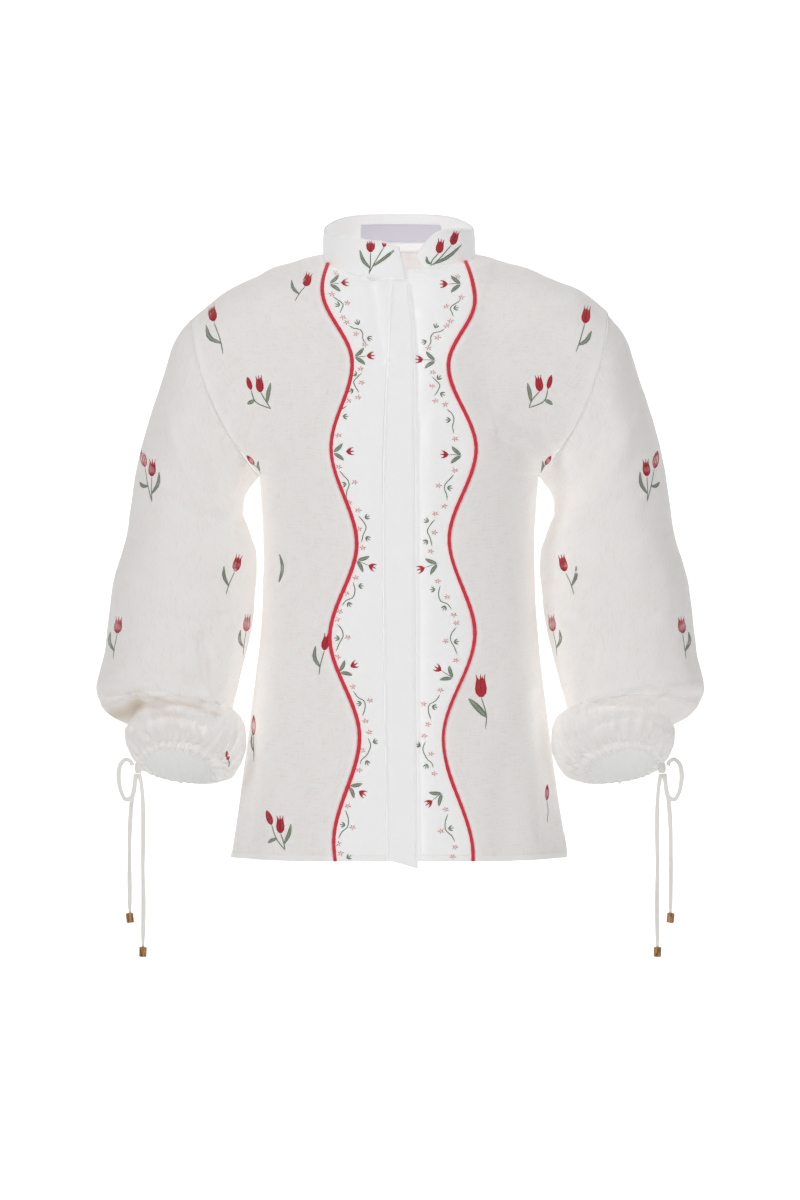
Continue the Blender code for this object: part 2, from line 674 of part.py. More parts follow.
def neck_label(collar, material):
    """A blank label on the inside of the collar, at the centre back."""
    sheet = Sheet()
    low, high = collar.rows[0], collar.rows[-1]
    middle = [i for i, turn in enumerate(collar.turns) if turn > 180 - LABEL_HALF_TURN]
    inner = collar.points - collar.normals * (WALL + GAP + LABEL_THICK + LABEL_EASE)
    rows = []
    for part in (LABEL_LOW, LABEL_HIGH):
        rows.append(sheet.add([inner[low[i]] * (1 - part) + inner[high[i]] * part for i in middle]))
    sheet.bridge(rows[0], rows[1])
    sheet.finish((rows[0][1], (0, -1, 0)))
    return sew("neck_label", sheet, material, LABEL_THICK)


def piping(name, sheet_side, sheet_centre, side, material):
    """A covered cord that stands a little proud of the wavy seam, eight-sided."""
    sides = 8
    path, ups = [], []
    for a, b in zip(sheet_side.wave, sheet_centre.wave):
        path.append((sheet_side.points[a] + sheet_centre.points[b]) / 2)
        ups.append(unit(sheet_side.normals[a] + sheet_centre.normals[b]))
    corner = sheet_side.neck[0]
    tip = sheet_side.points[corner] + neck_step(sheet_side, sheet_centre)
    path.append(tip)
    ups.append(sheet_side.normals[corner])
    path, ups = np.array(path), np.array(ups)
    run = unit(np.gradient(path, axis=0))
    across = unit(np.cross(run, ups))
    ups = unit(np.cross(across, run))
    angles = (np.arange(sides) + 0.5) * 2 * math.pi / sides
    sheet = Sheet()
    rings = []
    seam_run = unit(sheet_centre.points[sheet_centre.neck[-1]] - tip)
    square = unit(np.cross(seam_run, ups[-1]))
    square = square if square @ run[-1] > 0 else -square
    for point, up, sideways in zip(path, ups, across):
        centre = point + up * (PIPING_PROUD - PIPING_HEIGHT / 2)
        ring = np.array([
            centre + sideways * math.cos(a) * PIPING_WIDTH / 2 + up * math.sin(a) * PIPING_HEIGHT / 2
            for a in angles])
        if (point == tip).all():
            past = (ring - tip) @ square + PIPING_SHORT
            ring = ring - run[-1] * (past / (run[-1] @ square))[:, None]
        rings.append(sheet.add(ring))
    for lower, upper in zip(rings, rings[1:]):
        sheet.bridge(lower, upper, closed=True)
    faces = sheet.faces + [tuple(reversed(rings[0])), tuple(rings[-1])]
    if np.cross(run[0], across[0]) @ ups[0] < 0:
        faces = [tuple(reversed(face)) for face in faces]
    return new_object(name, np.array(sheet.points), faces, material)


def button(name, flat_points, normal, material):
    """A flat round button between the underlap and the fly."""
    sides = 14
    centre = flat_points.mean(0)
    along = unit(flat_points[1] - flat_points[0])
    across = unit(np.cross(normal, along))
    angles = np.arange(sides) * 2 * math.pi / sides
    rings = []
    for height in (GAP, GAP + BUTTON_THICK):
        rings.append([
            centre + normal * height + BUTTON_RADIUS * (along * math.cos(a) + across * math.sin(a))
            for a in angles])
    faces = [tuple(range(sides))[::-1], tuple(range(sides, 2 * sides))]
    for i in range(sides):
        j = (i + 1) % sides
        faces.append((i, j, j + sides, i + sides))
    if np.cross(along, across) @ normal < 0:
        faces = [tuple(reversed(face)) for face in faces]
    return new_object(name, np.array(rings).reshape(-1, 3), faces, material)


def tape(name, route, side, material, spacing=6.0):
    """A flat tape along a smooth curve through its route, its broad side to the front."""
    route = np.array(route, float) * (side, 1, 1)
    steps = np.concatenate([[0], np.cumsum(np.linalg.norm(np.diff(route, axis=0), axis=1))])
    count = max(int(round(steps[-1] / spacing)), 4)
    at = np.linspace(0, steps[-1], count + 1)
    path = np.stack([smooth(steps, route[:, i], at) for i in range(3)], -1)
    run = unit(np.gradient(path, axis=0))
    across = unit(np.cross(run, (0, -1, 0)))
    face = unit(np.cross(across, run))
    wide, thick = TAPE_WIDTH / 2, TAPE_THICK / 2
    profile = ((wide, 0), (wide - thick, thick), (thick - wide, thick),
               (-wide, 0), (thick - wide, -thick), (wide - thick, -thick))
    sheet = Sheet()
    rings = [sheet.add([point + w * u + v * t for u, t in profile])
             for point, w, v in zip(path, across, face)]
    for lower, upper in zip(rings, rings[1:]):
        sheet.bridge(lower, upper, closed=True)
    faces = [tuple(reversed(face)) for face in sheet.faces]
    faces += [tuple(rings[0]), tuple(reversed(rings[-1]))]
    return new_object(name, np.array(sheet.points), faces, material)


def turned(name, profile, centre, sides, material):
    """A closed body turned about a vertical axis; the profile is (radius, height) upward."""
    rings, faces = [], []
    for radius, height in profile:
        rings += [(centre[0] + radius * math.cos(2 * math.pi * i / sides),
                   centre[1] + radius * math.sin(2 * math.pi * i / sides),
                   centre[2] + height) for i in range(sides)]
    for level in range(len(profile) - 1):
        for i in range(sides):
            j = (i + 1) % sides
            faces.append((level * sides + i, level * sides + j,
                          (level + 1) * sides + j, (level + 1) * sides + i))
    faces.append(tuple(range(sides))[::-1])
    faces.append(tuple((len(profile) - 1) * sides + i for i in range(sides)))
    return new_object(name, np.array(rings), faces, material)


def bead(name, top, side, material):
    r, h = BEAD_RADIUS, BEAD_HEIGHT
    profile = ((r * 0.72, 0), (r, 1.4), (r, h - 1.4), (r * 0.72, h))
    centre = (side * top[0], top[1], top[2] - GAP - h)
    return turned(name, profile, centre, 10, material)


def knot(name, side, material):
    rx, _, rz = KNOT_SIZE
    profile = [(rx * math.sin(a), -rz * math.cos(a)) for a in np.radians((25, 55, 90, 125, 155))]
    return turned(name, profile, (side * KNOT_AT[0], KNOT_AT[1], KNOT_AT[2]), 12, material)


def side_name(side):
    return "right" if side == RIGHT else "left"


def neck_stations(sheets, fly):
    """The panel corners that share each station of the neck seam, from the right end round."""
    back = sheets["back"]
    right, left = sheets["centre", RIGHT], sheets["centre", LEFT]
    turns = {side: dict(zip(FRONT_NECK[side]["row"], FRONT_NECK[side]["turn"])) for side in FRONT_NECK}
    stations = []
    for index, turn in zip(fly.neck[:-1], FLY_NECK_TURNS):
        stations.append((RIGHT, turn, fly.points[index].copy(), [(fly, index)]))
    hinge = [(fly, fly.neck[-1]), (right, right.neck[0])]
    stations.append((RIGHT, FLY_NECK_TURNS[-1], right.points[right.neck[0]].copy(), hinge))
    for step, row in enumerate(range(10, 13)):
        index = right.neck[step + 1]
        stations.append((RIGHT, turns[RIGHT][row], right.points[index].copy(), [(right, index)]))
    side_front = sheets["side", RIGHT]
    point = side_front.points[side_front.neck[0]].copy()
    stations.append((RIGHT, turns[RIGHT][13], point, [(side_front, side_front.neck[0])]))
    shoulder = [(side_front, side_front.neck[1]), (back, back.neck[RIGHT][-1])]
    stations.append((RIGHT, 90, side_front.points[side_front.neck[1]].copy(), shoulder))
    for turn, index in list(zip(BACK_NECK["turn"], back.neck[RIGHT]))[-2::-1]:
        stations.append((RIGHT, turn, back.points[index].copy(), [(back, index)]))
    for turn, index in list(zip(BACK_NECK["turn"], back.neck[LEFT]))[1:-1]:
        stations.append((LEFT, turn, back.points[index].copy(), [(back, index)]))
    side_front = sheets["side", LEFT]
    shoulder = [(side_front, side_front.neck[1]), (back, back.neck[LEFT][-1])]
    stations.append((LEFT, 90, side_front.points[side_front.neck[1]].copy(), shoulder))
    point = side_front.points[side_front.neck[0]].copy()
    stations.append((LEFT, turns[LEFT][13], point, [(side_front, side_front.neck[0])]))
    for step, row in reversed(list(enumerate(range(10, 13)))):
        index = left.neck[step + 1]
        stations.append((LEFT, turns[LEFT][row], left.points[index].copy(), [(left, index)]))
    return stations


def main():
    for obj in list(bpy.data.objects):
        bpy.data.objects.remove(obj, do_unlink=True)
    sheer = new_material("sheer linen", (0.84, 0.82, 0.79), 0.85)
    opaque = new_material("opaque linen", (0.88, 0.88, 0.88), 0.85)
    red = new_material("red piping", (0.52, 0.02, 0.04), 0.6)
    lilac = new_material("lilac label", (0.75, 0.72, 0.87), 0.5)
    shell = new_material("button", (0.9, 0.88, 0.84), 0.35)
    tape_white = new_material("white tape", (0.85, 0.84, 0.82), 0.8)
    wood = new_material("gold wood bead", (0.5, 0.26, 0.1), 0.4)

    sheets = {"back": back_panel()}
    fly = fly_strip()
    for side in (RIGHT, LEFT):
        sheets["side", side] = front_side(side)
        sheets["centre", side] = front_centre(side)
        sheets["sleeve", side] = sleeve(side)
        sheets["casing", side] = casing(side)
    stations = neck_stations(sheets, fly)
    collar = collar_band(stations)
    close_neck(collar, stations)
    back = sheets["back"]
    for side in (RIGHT, LEFT):
        front = sheets["side", side]
        close_tip(front, sheets["centre", side])
        close_armhole(sheets["sleeve", side], front, back, side)
        join_seam(((sheets["sleeve", side], sheets["sleeve", side].cuff),
                   (sheets["casing", side], sheets["casing", side].cuff)))
        part_in_plane(front, sorted(set(front.side_seam + front.shoulder)), 1, -1)
        edge = sorted(set(back.side_seam[side] + back.shoulder[side]))
        part_in_plane(back, edge, 1, 1)
    right = sheets["centre", RIGHT]
    part_in_plane(right, right.centre, 0, -1)
    part_in_plane(fly, fly.centre, 0, 1)

    sew("back", back, sheer)
    sew("collar", collar, opaque)
    sew("fly_placket", fly, opaque)
    neck_label(collar, lilac)
    for side in (RIGHT, LEFT):
        name = side_name(side)
        sew("front_side_" + name, sheets["side", side], sheer)
        sew("front_centre_" + name, sheets["centre", side], opaque)
        sew("sleeve_" + name, sheets["sleeve", side], sheer)
        sew("casing_" + name, sheets["casing", side], sheer)
        piping("piping_" + name, sheets["side", side], sheets["centre", side], side, red)
        knot("tie_knot_" + name, side, tape_white)
        tape("tie_loop_" + name, LOOP_ROUTE, side, tape_white)
        tape("tie_short_" + name, SHORT_ROUTE, side, tape_white, 10)
        tape("tie_long_" + name, LONG_ROUTE, side, tape_white, 10)
        bead("bead_short_" + name, SHORT_ROUTE[-1], side, wood)
        bead("bead_long_" + name, LONG_ROUTE[-1], side, wood)
    left = sheets["centre", LEFT]
    for number, row in enumerate(BUTTON_ROWS, 1):
        corners = [left.rows[row][1], left.rows[row + 1][1]]
        flat = left.points[corners]
        button(f"button_{number}", flat, unit(left.normals[corners].sum(0)), shell)


main()
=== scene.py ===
"""The looks of a long-sleeved linen blouse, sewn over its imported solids.

Sizes in the tables are millimetres and +X is the viewer's right. "Out" is measured sideways from
the centre plane. Places called "seen" are in pixels of the front view, 800 wide and 1200 high,
and are laid on the cloth along the camera's own lines of sight.
"""
import math

import bpy
import numpy as np
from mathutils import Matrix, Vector
from mathutils.bvhtree import BVHTree


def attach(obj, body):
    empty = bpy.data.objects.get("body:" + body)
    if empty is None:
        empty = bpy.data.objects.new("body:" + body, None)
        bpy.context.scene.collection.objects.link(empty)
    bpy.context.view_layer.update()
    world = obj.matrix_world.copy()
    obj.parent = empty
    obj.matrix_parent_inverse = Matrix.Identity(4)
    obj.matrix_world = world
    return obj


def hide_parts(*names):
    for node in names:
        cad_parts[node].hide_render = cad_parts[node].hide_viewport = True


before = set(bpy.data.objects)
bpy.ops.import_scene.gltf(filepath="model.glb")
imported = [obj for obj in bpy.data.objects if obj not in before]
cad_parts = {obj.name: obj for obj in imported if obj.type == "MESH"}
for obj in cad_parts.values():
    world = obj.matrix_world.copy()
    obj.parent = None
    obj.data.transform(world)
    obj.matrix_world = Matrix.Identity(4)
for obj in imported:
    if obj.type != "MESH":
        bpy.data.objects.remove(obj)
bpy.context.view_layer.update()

MM = 0.001
RIGHT, LEFT = -1, 1
FRONT, BACK = -1, 1
SIDES = {RIGHT: "right", LEFT: "left"}
# A place inside the body, which its panels face away from, and a distance past any seam's reach.
INSIDE = (0, 0, -300)
FAR = 99.0
SHEER_WALL, FIRM_WALL, DOUBLE_WALL, LABEL_WALL = 0.55, 0.9, 1.2, 0.4

# The camera stands level in front; at the shoulders one pixel is 1.05 mm.
EYE_X, EYE_Y, EYE_Z = 1.05, -3400.0, -367.5
PIXEL = 1.05
MIDDLE_X, MIDDLE_Y = 400.0, 600.0

# The body, the sleeves and their ties, as the part's solids have them.
HEM_Z = {FRONT: -631.0, BACK: -628.0}
HEM_SIDE_Z = -636.0
UNDERARM_Z = -238.0
CORNER_RISE = {RIGHT: 0.0, LEFT: 19.0}
CORNER_FROM = 0.88
TORSO = dict(
    z=(-636, -590, -536, -464, -367, -300, -238),
    width=(176, 168.5, 161, 152, 143, 142.3, 146),
    front=(140, 137, 133, 127, 121, 123, 127),
    back=(134, 130, 124, 115, 105, 102, 104),
)
FRONT_CENTRE = {
    RIGHT: dict(z=(-238, -190, -140, -90, -38), y=(127, 124, 112, 93, 69)),
    LEFT: dict(z=(-238, -190, -140, -90, -38, -27), y=(127, 124, 112, 93, 69, 66.5)),
}
BACK_CENTRE = dict(z=(-238, -180, -110, -50, 4.5), y=(104, 107, 103, 87, 60))
ROUNDING = 2.4
NECK_WIDTH, NECK_BACK = 80.0, 60.0
NECK_FRONT = {RIGHT: 69.0, LEFT: 66.5}
NECK_SIDE_Z = -5.0
NECK_DROP = {RIGHT: 33.0, LEFT: 22.0}
NECK_RISE = 9.5
LOW_ROWS, ARM_ROWS, PIT_ROW = 18, 14, 9
# The last row in which a front reaches the neck, half the wavy seam's width, and the least that a
# panel measures across.
NECK_END_ROW, SEAM_GAP, LEAST_ACROSS = 12.98, 1.3, 0.004
FRONT_NECK = {
    RIGHT: dict(row=(9, 10, 11, 12, 13, 14), turn=(0, 17, 34, 51, 67.5, 90)),
    LEFT: dict(row=(9, 10, 11, 12, 13, 14), turn=(0, 18.7, 33, 47, 60, 90)),
}
BACK_NECK = dict(row=(10, 11, 12, 13, 14), turn=(180, 158, 136, 113, 90))
WAVE = {
    RIGHT: dict(
        z=(-636, -615, -502, -405, -312, -214, -121, -48, -17),
        out=(63.5, 65.6, 40, 70.2, 42.8, 68.6, 48, 79, 74),
    ),
    LEFT: dict(
        z=(-636, -625, -504, -402, -305, -214, -125, -60, -16),
        out=(74.6, 74.7, 44.5, 77, 50.7, 78, 50.5, 78, 69.3),
    ),
}
FLY_SEAM = dict(z=(-636, -143, -107, -60, -38), out=(13, 13.2, 11.2, 7.6, 6))
FLY_EDGE = dict(z=(-636, -500, -163, -102, -38), out=(18.8, 17.5, 15.2, 14.3, 8))
FLY_HEM_RISE, FLY_DIP = 2.0, 7.0
UNDERLAP, LAP_DEPTH, LAP_EASE = 18.0, 3.9, (19.0, 36.0)
COLLAR_HEIGHT, COLLAR_SIDE_LOSS, COLLAR_SIDE_POWER = 40.0, 10.5, 5
RIGHT_END = dict(turn=(-6, 0, 6, 12, 20), height=(34, 37, 39, 40, 40), shift=(5.4, 4, 2, 0.5, 0))
LEFT_END = dict(turn=(18.7, 24, 30, 36), height=(14, 27, 36, 40), shift=(-6, -4, -2, 0))

SLEEVE = dict(
    outer_x=(216, 236, 250.5, 265.5, 275.5, 282, 286.5, 299.5, 305, 308, 314.5, 311, 302, 278,
             282, 281.5, 277.5, 271.5, 268, 263),
    outer_z=(-73, -98, -141, -186, -229, -271, -302, -349, -397, -425, -458, -472, -483, -491,
             -504, -515, -524, -531, -534, -537),
    inner_x=(147, 151.5, 158, 162.5, 160.5, 154, 149.5, 149, 152.5, 159, 168, 171.5, 172.5, 172,
             161.5, 159.5, 161, 169, 179, 192),
    inner_z=(-238, -243, -252, -264, -277, -294, -314, -348, -389, -420, -459, -474, -484, -487,
             -494, -508, -525, -539, -545, -547),
    y=(0, 0, -1, -2, -4, -6, -8, -12, -18, -24, -32, -37, -42, -44, -46, -48, -49, -50, -50, -50),
    depth=(78, 78, 77, 76, 75, 74, 74, 75, 76, 76, 76, 75, 72, 54, 59, 61, 59, 54, 48, 40),
    tilt=(0, 0, 0, 0, 0, 0, 0, 2, 4, 6, 9, 12, 15, 27, 25, 27, 30, 34, 36, 30),
    bow=(14, 12, 8, 4, 1, 0, 0, 0, 0, 0, 0, 0, 0, 0, 0, 0, 0, 0, 0, 0),
    gather=(0, 0, 0, 0, 0, 0, 0, 0, 0, 0, 0, 0, 0, 0, 0.5, 0.9, 1.3, 1.9, 2.3, 2.1),
    back_lift=(0, 0, 0, 0, 0, 0, 0, 0, 0, 0, 0, 0, 0, 0, 0, 0.5, 3, 7.5, 9.5, 4.5),
)
STANCE = {
    RIGHT: dict(out=(80, 112, 137, 165, 190, 215, 240, 265), lift=(0, -1.8, -0.6, 0.6, 2, 1, 0, 0),
                spread=0.0),
    LEFT: dict(out=(80, 112, 137, 165, 190, 215, 240, 265), lift=(0, -3, 0, 3.6, 9, 7, 3.5, 0),
               spread=2.5),
}
STANCE_FADE = (-250.0, -90.0)
SPREAD_FROM = (150.0, 190.0)
CASING_RING, END_RING = 18, 19
# How many steps the sleeve's grid takes from each ring of the table to the next.
SLEEVE_STEPS = (15, 15, 16, 16, 15, 13, 15, 17, 13, 14, 8, 8, 8, 9, 8, 8, 8, 6)
GATHERS = 28
BODY_TROUGHS = (
    dict(face=FRONT, side=RIGHT, across=0.73, width=0.09, deep=6.0, top=-440),
    dict(face=FRONT, side=LEFT, across=0.75, width=0.10, deep=6.0, top=-470),
    dict(face=BACK, side=RIGHT, across=0.62, width=0.13, deep=7.0, top=-330),
    dict(face=BACK, side=LEFT, across=0.55, width=0.12, deep=6.0, top=-380),
    dict(face=BACK, side=RIGHT, across=0.18, width=0.11, deep=5.0, top=-420),
    dict(face=BACK, side=LEFT, across=0.90, width=0.08, deep=5.0, top=-450),
)
SLEEVE_TROUGHS = (
    dict(ring=10.4, ring_reach=1.7, turn=124, turn_reach=12, deep=4.5),
    dict(ring=8.0, ring_reach=0.55, turn=85, turn_reach=45, deep=2.0),
    dict(ring=10.6, ring_reach=1.5, turn=250, turn_reach=14, deep=4.5),
    dict(ring=8.6, ring_reach=0.6, turn=290, turn_reach=40, deep=3.0),
    dict(ring=4.8, ring_reach=0.8, turn=185, turn_reach=30, deep=3.0),
)

TAPE_WIDTH, TAPE_THICK = 4.8, 1.1
TAPE_STEP = 1.6
KNOT_AT = (269.3, -52.0, -541.0)
LOOP_ROUTE = (
    (275.4, -53.5, -538.5), (277.5, -54, -534), (281.5, -54.5, -532), (286.5, -55, -535.5),
    (289.3, -55.5, -545), (289, -55.5, -556), (286.5, -55.5, -566.5), (281.8, -55.5, -573.5),
    (276.8, -55.2, -572), (273.8, -54.6, -564), (272.9, -54.2, -556), (272.4, -53.9, -547.4),
)
SHORT_ROUTE = (
    (271.4, -50, -547), (273, -50, -556), (276, -50, -573), (278.2, -50, -600),
    (278.8, -50, -640), (278.6, -50, -668), (278.4, -50, -691),
)
LONG_ROUTE = (
    (268.6, -51.5, -547.2), (266.6, -51.5, -557), (264.8, -51.5, -577), (264.4, -51.5, -608),
    (264.8, -51.5, -645), (264.2, -51.5, -680), (264.8, -51.5, -726),
)

# Creases seen on the front, each a line with the width of its trough and its depth in mm. A
# minus depth is a ridge.
SEEN_CREASES = (
    dict(line=((372, 279), (378, 305), (380, 330), (386, 360)), wide=5, deep=2.2),
    dict(line=((362, 284), (367, 318), (372, 345)), wide=6, deep=-0.9),
    dict(line=((396, 300), (405, 304), (416, 313)), wide=3.5, deep=0.9),
    dict(line=((372, 364), (386, 360), (402, 358), (420, 363)), wide=4, deep=0.8),
    dict(line=((420, 436), (431, 405), (434, 392)), wide=5, deep=1.0),
    dict(line=((384, 668), (405, 655), (440, 660)), wide=5, deep=0.6),
    dict(line=((392, 540), (402, 590), (400, 640)), wide=6, deep=0.5),
    dict(line=((430, 300), (436, 330), (432, 352)), wide=7, deep=0.7),
    dict(line=((148, 616), (170, 618), (195, 620), (224, 615)), wide=7, deep=0.9),
    dict(line=((150, 604), (190, 607), (222, 602)), wide=9, deep=-0.5),
    dict(line=((157, 655), (170, 657), (184, 654)), wide=6, deep=0.7),
    dict(line=((204, 640), (210, 672), (221, 712)), wide=6, deep=2.4),
    dict(line=((196, 650), (200, 676), (206, 700)), wide=6, deep=-1.0),
    dict(line=((172, 432), (186, 466), (206, 500), (226, 520)), wide=9, deep=-1.8),
    dict(line=((196, 420), (206, 452), (222, 486)), wide=8, deep=1.5),
    dict(line=((150, 545), (176, 560), (206, 566)), wide=12, deep=-1.5),
    dict(line=((205, 516), (226, 522), (246, 518)), wide=6, deep=1.5),
    dict(line=((236, 545), (240, 575), (236, 610)), wide=7, deep=1.2),
    dict(line=((116, 560), (130, 575), (150, 580)), wide=7, deep=1.1),
    dict(line=((100, 697), (113, 698), (128, 696), (138, 700)), wide=4.5, deep=3.0),
    dict(line=((103, 682), (120, 681), (136, 684)), wide=6, deep=-1.8),
    dict(line=((134, 692), (151, 691), (166, 694), (184, 701), (208, 708)), wide=3.0, deep=3.0),
    dict(line=((146, 683), (170, 687), (196, 696), (214, 702)), wide=6, deep=-1.2),
    dict(line=((134, 725), (151, 720), (169, 716), (186, 720), (204, 726)), wide=4, deep=1.8),
    dict(line=((140, 716), (160, 710), (182, 712)), wide=5, deep=-1.0),
    dict(line=((131, 728), (140, 730), (149, 736)), wide=2.6, deep=1.2),
    dict(line=((215, 776), (224, 764), (236, 752), (242, 738)), wide=3, deep=1.7),
    dict(line=((208, 770), (220, 752), (230, 738)), wide=3.2, deep=1.5),
    dict(line=((200, 764), (210, 748), (222, 734)), wide=3, deep=1.0),
    dict(line=((219, 780), (230, 770), (241, 762)), wide=3, deep=1.6),
    dict(line=((139, 762), (134, 748), (133, 736)), wide=2.8, deep=1.2),
    dict(line=((147, 758), (143, 746), (146, 735)), wide=2.6, deep=0.9),
    dict(line=((252, 500), (256, 560), (254, 620)), wide=8, deep=1.3),
    dict(line=((276, 470), (284, 560), (280, 640), (286, 720)), wide=16, deep=-1.6),
    dict(line=((250, 722), (251, 770), (250, 846)), wide=7, deep=2.2),
    dict(line=((300, 700), (296, 770), (292, 850)), wide=13, deep=1.3),
    dict(line=((310, 302), (322, 345), (318, 395)), wide=14, deep=1.5),
    dict(line=((226, 300), (252, 312), (276, 330)), wide=13, deep=-1.5),
    dict(line=((250, 430), (272, 412), (300, 402)), wide=7, deep=1.2),
    dict(line=((262, 468), (276, 448), (300, 436)), wide=6, deep=1.0),
    dict(line=((232, 268), (262, 276), (292, 292)), wide=6, deep=0.9),
    dict(line=((510, 418), (540, 432), (560, 452)), wide=7, deep=1.2),
    dict(line=((500, 440), (524, 450), (540, 470)), wide=6, deep=1.0),
    dict(line=((488, 300), (482, 350), (490, 400)), wide=14, deep=1.5),
    dict(line=((572, 300), (548, 314), (520, 330)), wide=13, deep=-1.5),
    dict(line=((540, 500), (536, 560), (538, 620)), wide=8, deep=1.2),
    dict(line=((515, 480), (508, 560), (514, 650), (506, 730)), wide=16, deep=-1.6),
    dict(line=((540, 700), (546, 770), (551, 846)), wide=8, deep=2.0),
    dict(line=((500, 730), (505, 790), (506, 850)), wide=13, deep=1.2),
    dict(line=((575, 617), (604, 621), (630, 619), (652, 615)), wide=7, deep=0.9),
    dict(line=((578, 604), (612, 607), (648, 602)), wide=9, deep=-0.5),
    dict(line=((614, 655), (630, 658), (642, 655)), wide=6, deep=0.7),
    dict(line=((596, 640), (589, 674), (579, 712)), wide=6, deep=2.4),
    dict(line=((628, 432), (614, 466), (594, 500), (574, 520)), wide=9, deep=-1.8),
    dict(line=((604, 420), (594, 452), (578, 486)), wide=8, deep=1.5),
    dict(line=((650, 545), (624, 560), (594, 566)), wide=12, deep=-1.5),
    dict(line=((564, 545), (560, 575), (564, 610)), wide=7, deep=1.2),
    dict(line=((699, 697), (686, 698), (672, 696), (662, 700)), wide=4.5, deep=3.0),
    dict(line=((697, 682), (680, 681), (664, 684)), wide=6, deep=-1.8),
    dict(line=((666, 692), (649, 691), (634, 694), (616, 701), (592, 708)), wide=3.0, deep=3.0),
    dict(line=((654, 683), (630, 687), (604, 696), (586, 702)), wide=6, deep=-1.2),
    dict(line=((666, 725), (649, 720), (631, 716), (614, 720), (596, 726)), wide=4, deep=1.8),
    dict(line=((669, 728), (660, 730), (651, 736)), wide=2.6, deep=1.2),
    dict(line=((586, 776), (576, 764), (564, 752), (558, 738)), wide=3, deep=1.7),
    dict(line=((592, 770), (580, 752), (570, 738)), wide=3.2, deep=1.5),
    dict(line=((600, 764), (590, 748), (578, 734)), wide=3, deep=1.0),
    dict(line=((661, 762), (666, 748), (667, 736)), wide=2.8, deep=1.2),
)
FOLD_DEPTH = 1.7

# Where the sleeve's fold lies over the puff and shades it, in seen pixels of the right sleeve.
FOLD_SHADES = (
    dict(line=((113, 716), (126, 713), (137, 705)), wide=7.5, deep=0.85),
    dict(line=((129, 693), (143, 693), (160, 700), (196, 708), (220, 715)), wide=2.4, deep=0.4),
    dict(line=((139, 702), (152, 712), (176, 716)), wide=6, deep=0.22),
)

# Creases on the back, as (x, z) in mm.
BACK_CREASES = (
    dict(line=((-60, -60), (-30, -110), (-20, -170)), wide=12, deep=1.6),
    dict(line=((58, -55), (34, -110), (26, -180)), wide=12, deep=1.4),
    dict(line=((-188, -150), (-150, -190), (-110, -205)), wide=9, deep=1.8),
    dict(line=((190, -140), (150, -180), (112, -200)), wide=9, deep=1.7),
    dict(line=((-150, -240), (-110, -262), (-60, -268)), wide=8, deep=1.4),
    dict(line=((146, -250), (104, -280), (52, -292)), wide=9, deep=1.4),
    dict(line=((-96, -330), (-100, -440), (-108, -628)), wide=14, deep=2.0),
    dict(line=((90, -380), (84, -480), (92, -628)), wide=14, deep=2.0),
    dict(line=((-34, -420), (-30, -520), (-36, -628)), wide=12, deep=1.6),
    dict(line=((30, -300), (36, -400), (28, -520)), wide=16, deep=-1.6),
    dict(line=((-64, -360), (-68, -460), (-72, -600)), wide=14, deep=-1.5),
    dict(line=((136, -430), (140, -520), (150, -630)), wide=10, deep=1.4),
)

# Creases round the hidden sides of both sleeves, by ring and turn.
ROUND_CREASES = (
    dict(ring=6.2, turn=320, ring_reach=0.35, turn_reach=34, deep=1.6),
    dict(ring=5.0, turn=250, ring_reach=0.3, turn_reach=40, deep=1.8),
    dict(ring=7.3, turn=220, ring_reach=0.3, turn_reach=38, deep=1.6),
    dict(ring=3.6, turn=230, ring_reach=0.35, turn_reach=46, deep=1.8),
    dict(ring=2.4, turn=290, ring_reach=0.5, turn_reach=24, deep=-1.4),
    dict(ring=9.4, turn=262, ring_reach=0.35, turn_reach=40, deep=1.6),
    dict(ring=11.8, turn=280, ring_reach=0.4, turn_reach=46, deep=2.0),
    dict(ring=13.0, turn=225, ring_reach=0.4, turn_reach=60, deep=2.2),
    dict(ring=9.0, turn=340, ring_reach=0.4, turn_reach=22, deep=1.3),
    dict(ring=5.6, turn=172, ring_reach=0.3, turn_reach=26, deep=2.0),
    dict(ring=4.1, turn=190, ring_reach=0.3, turn_reach=30, deep=1.6),
)

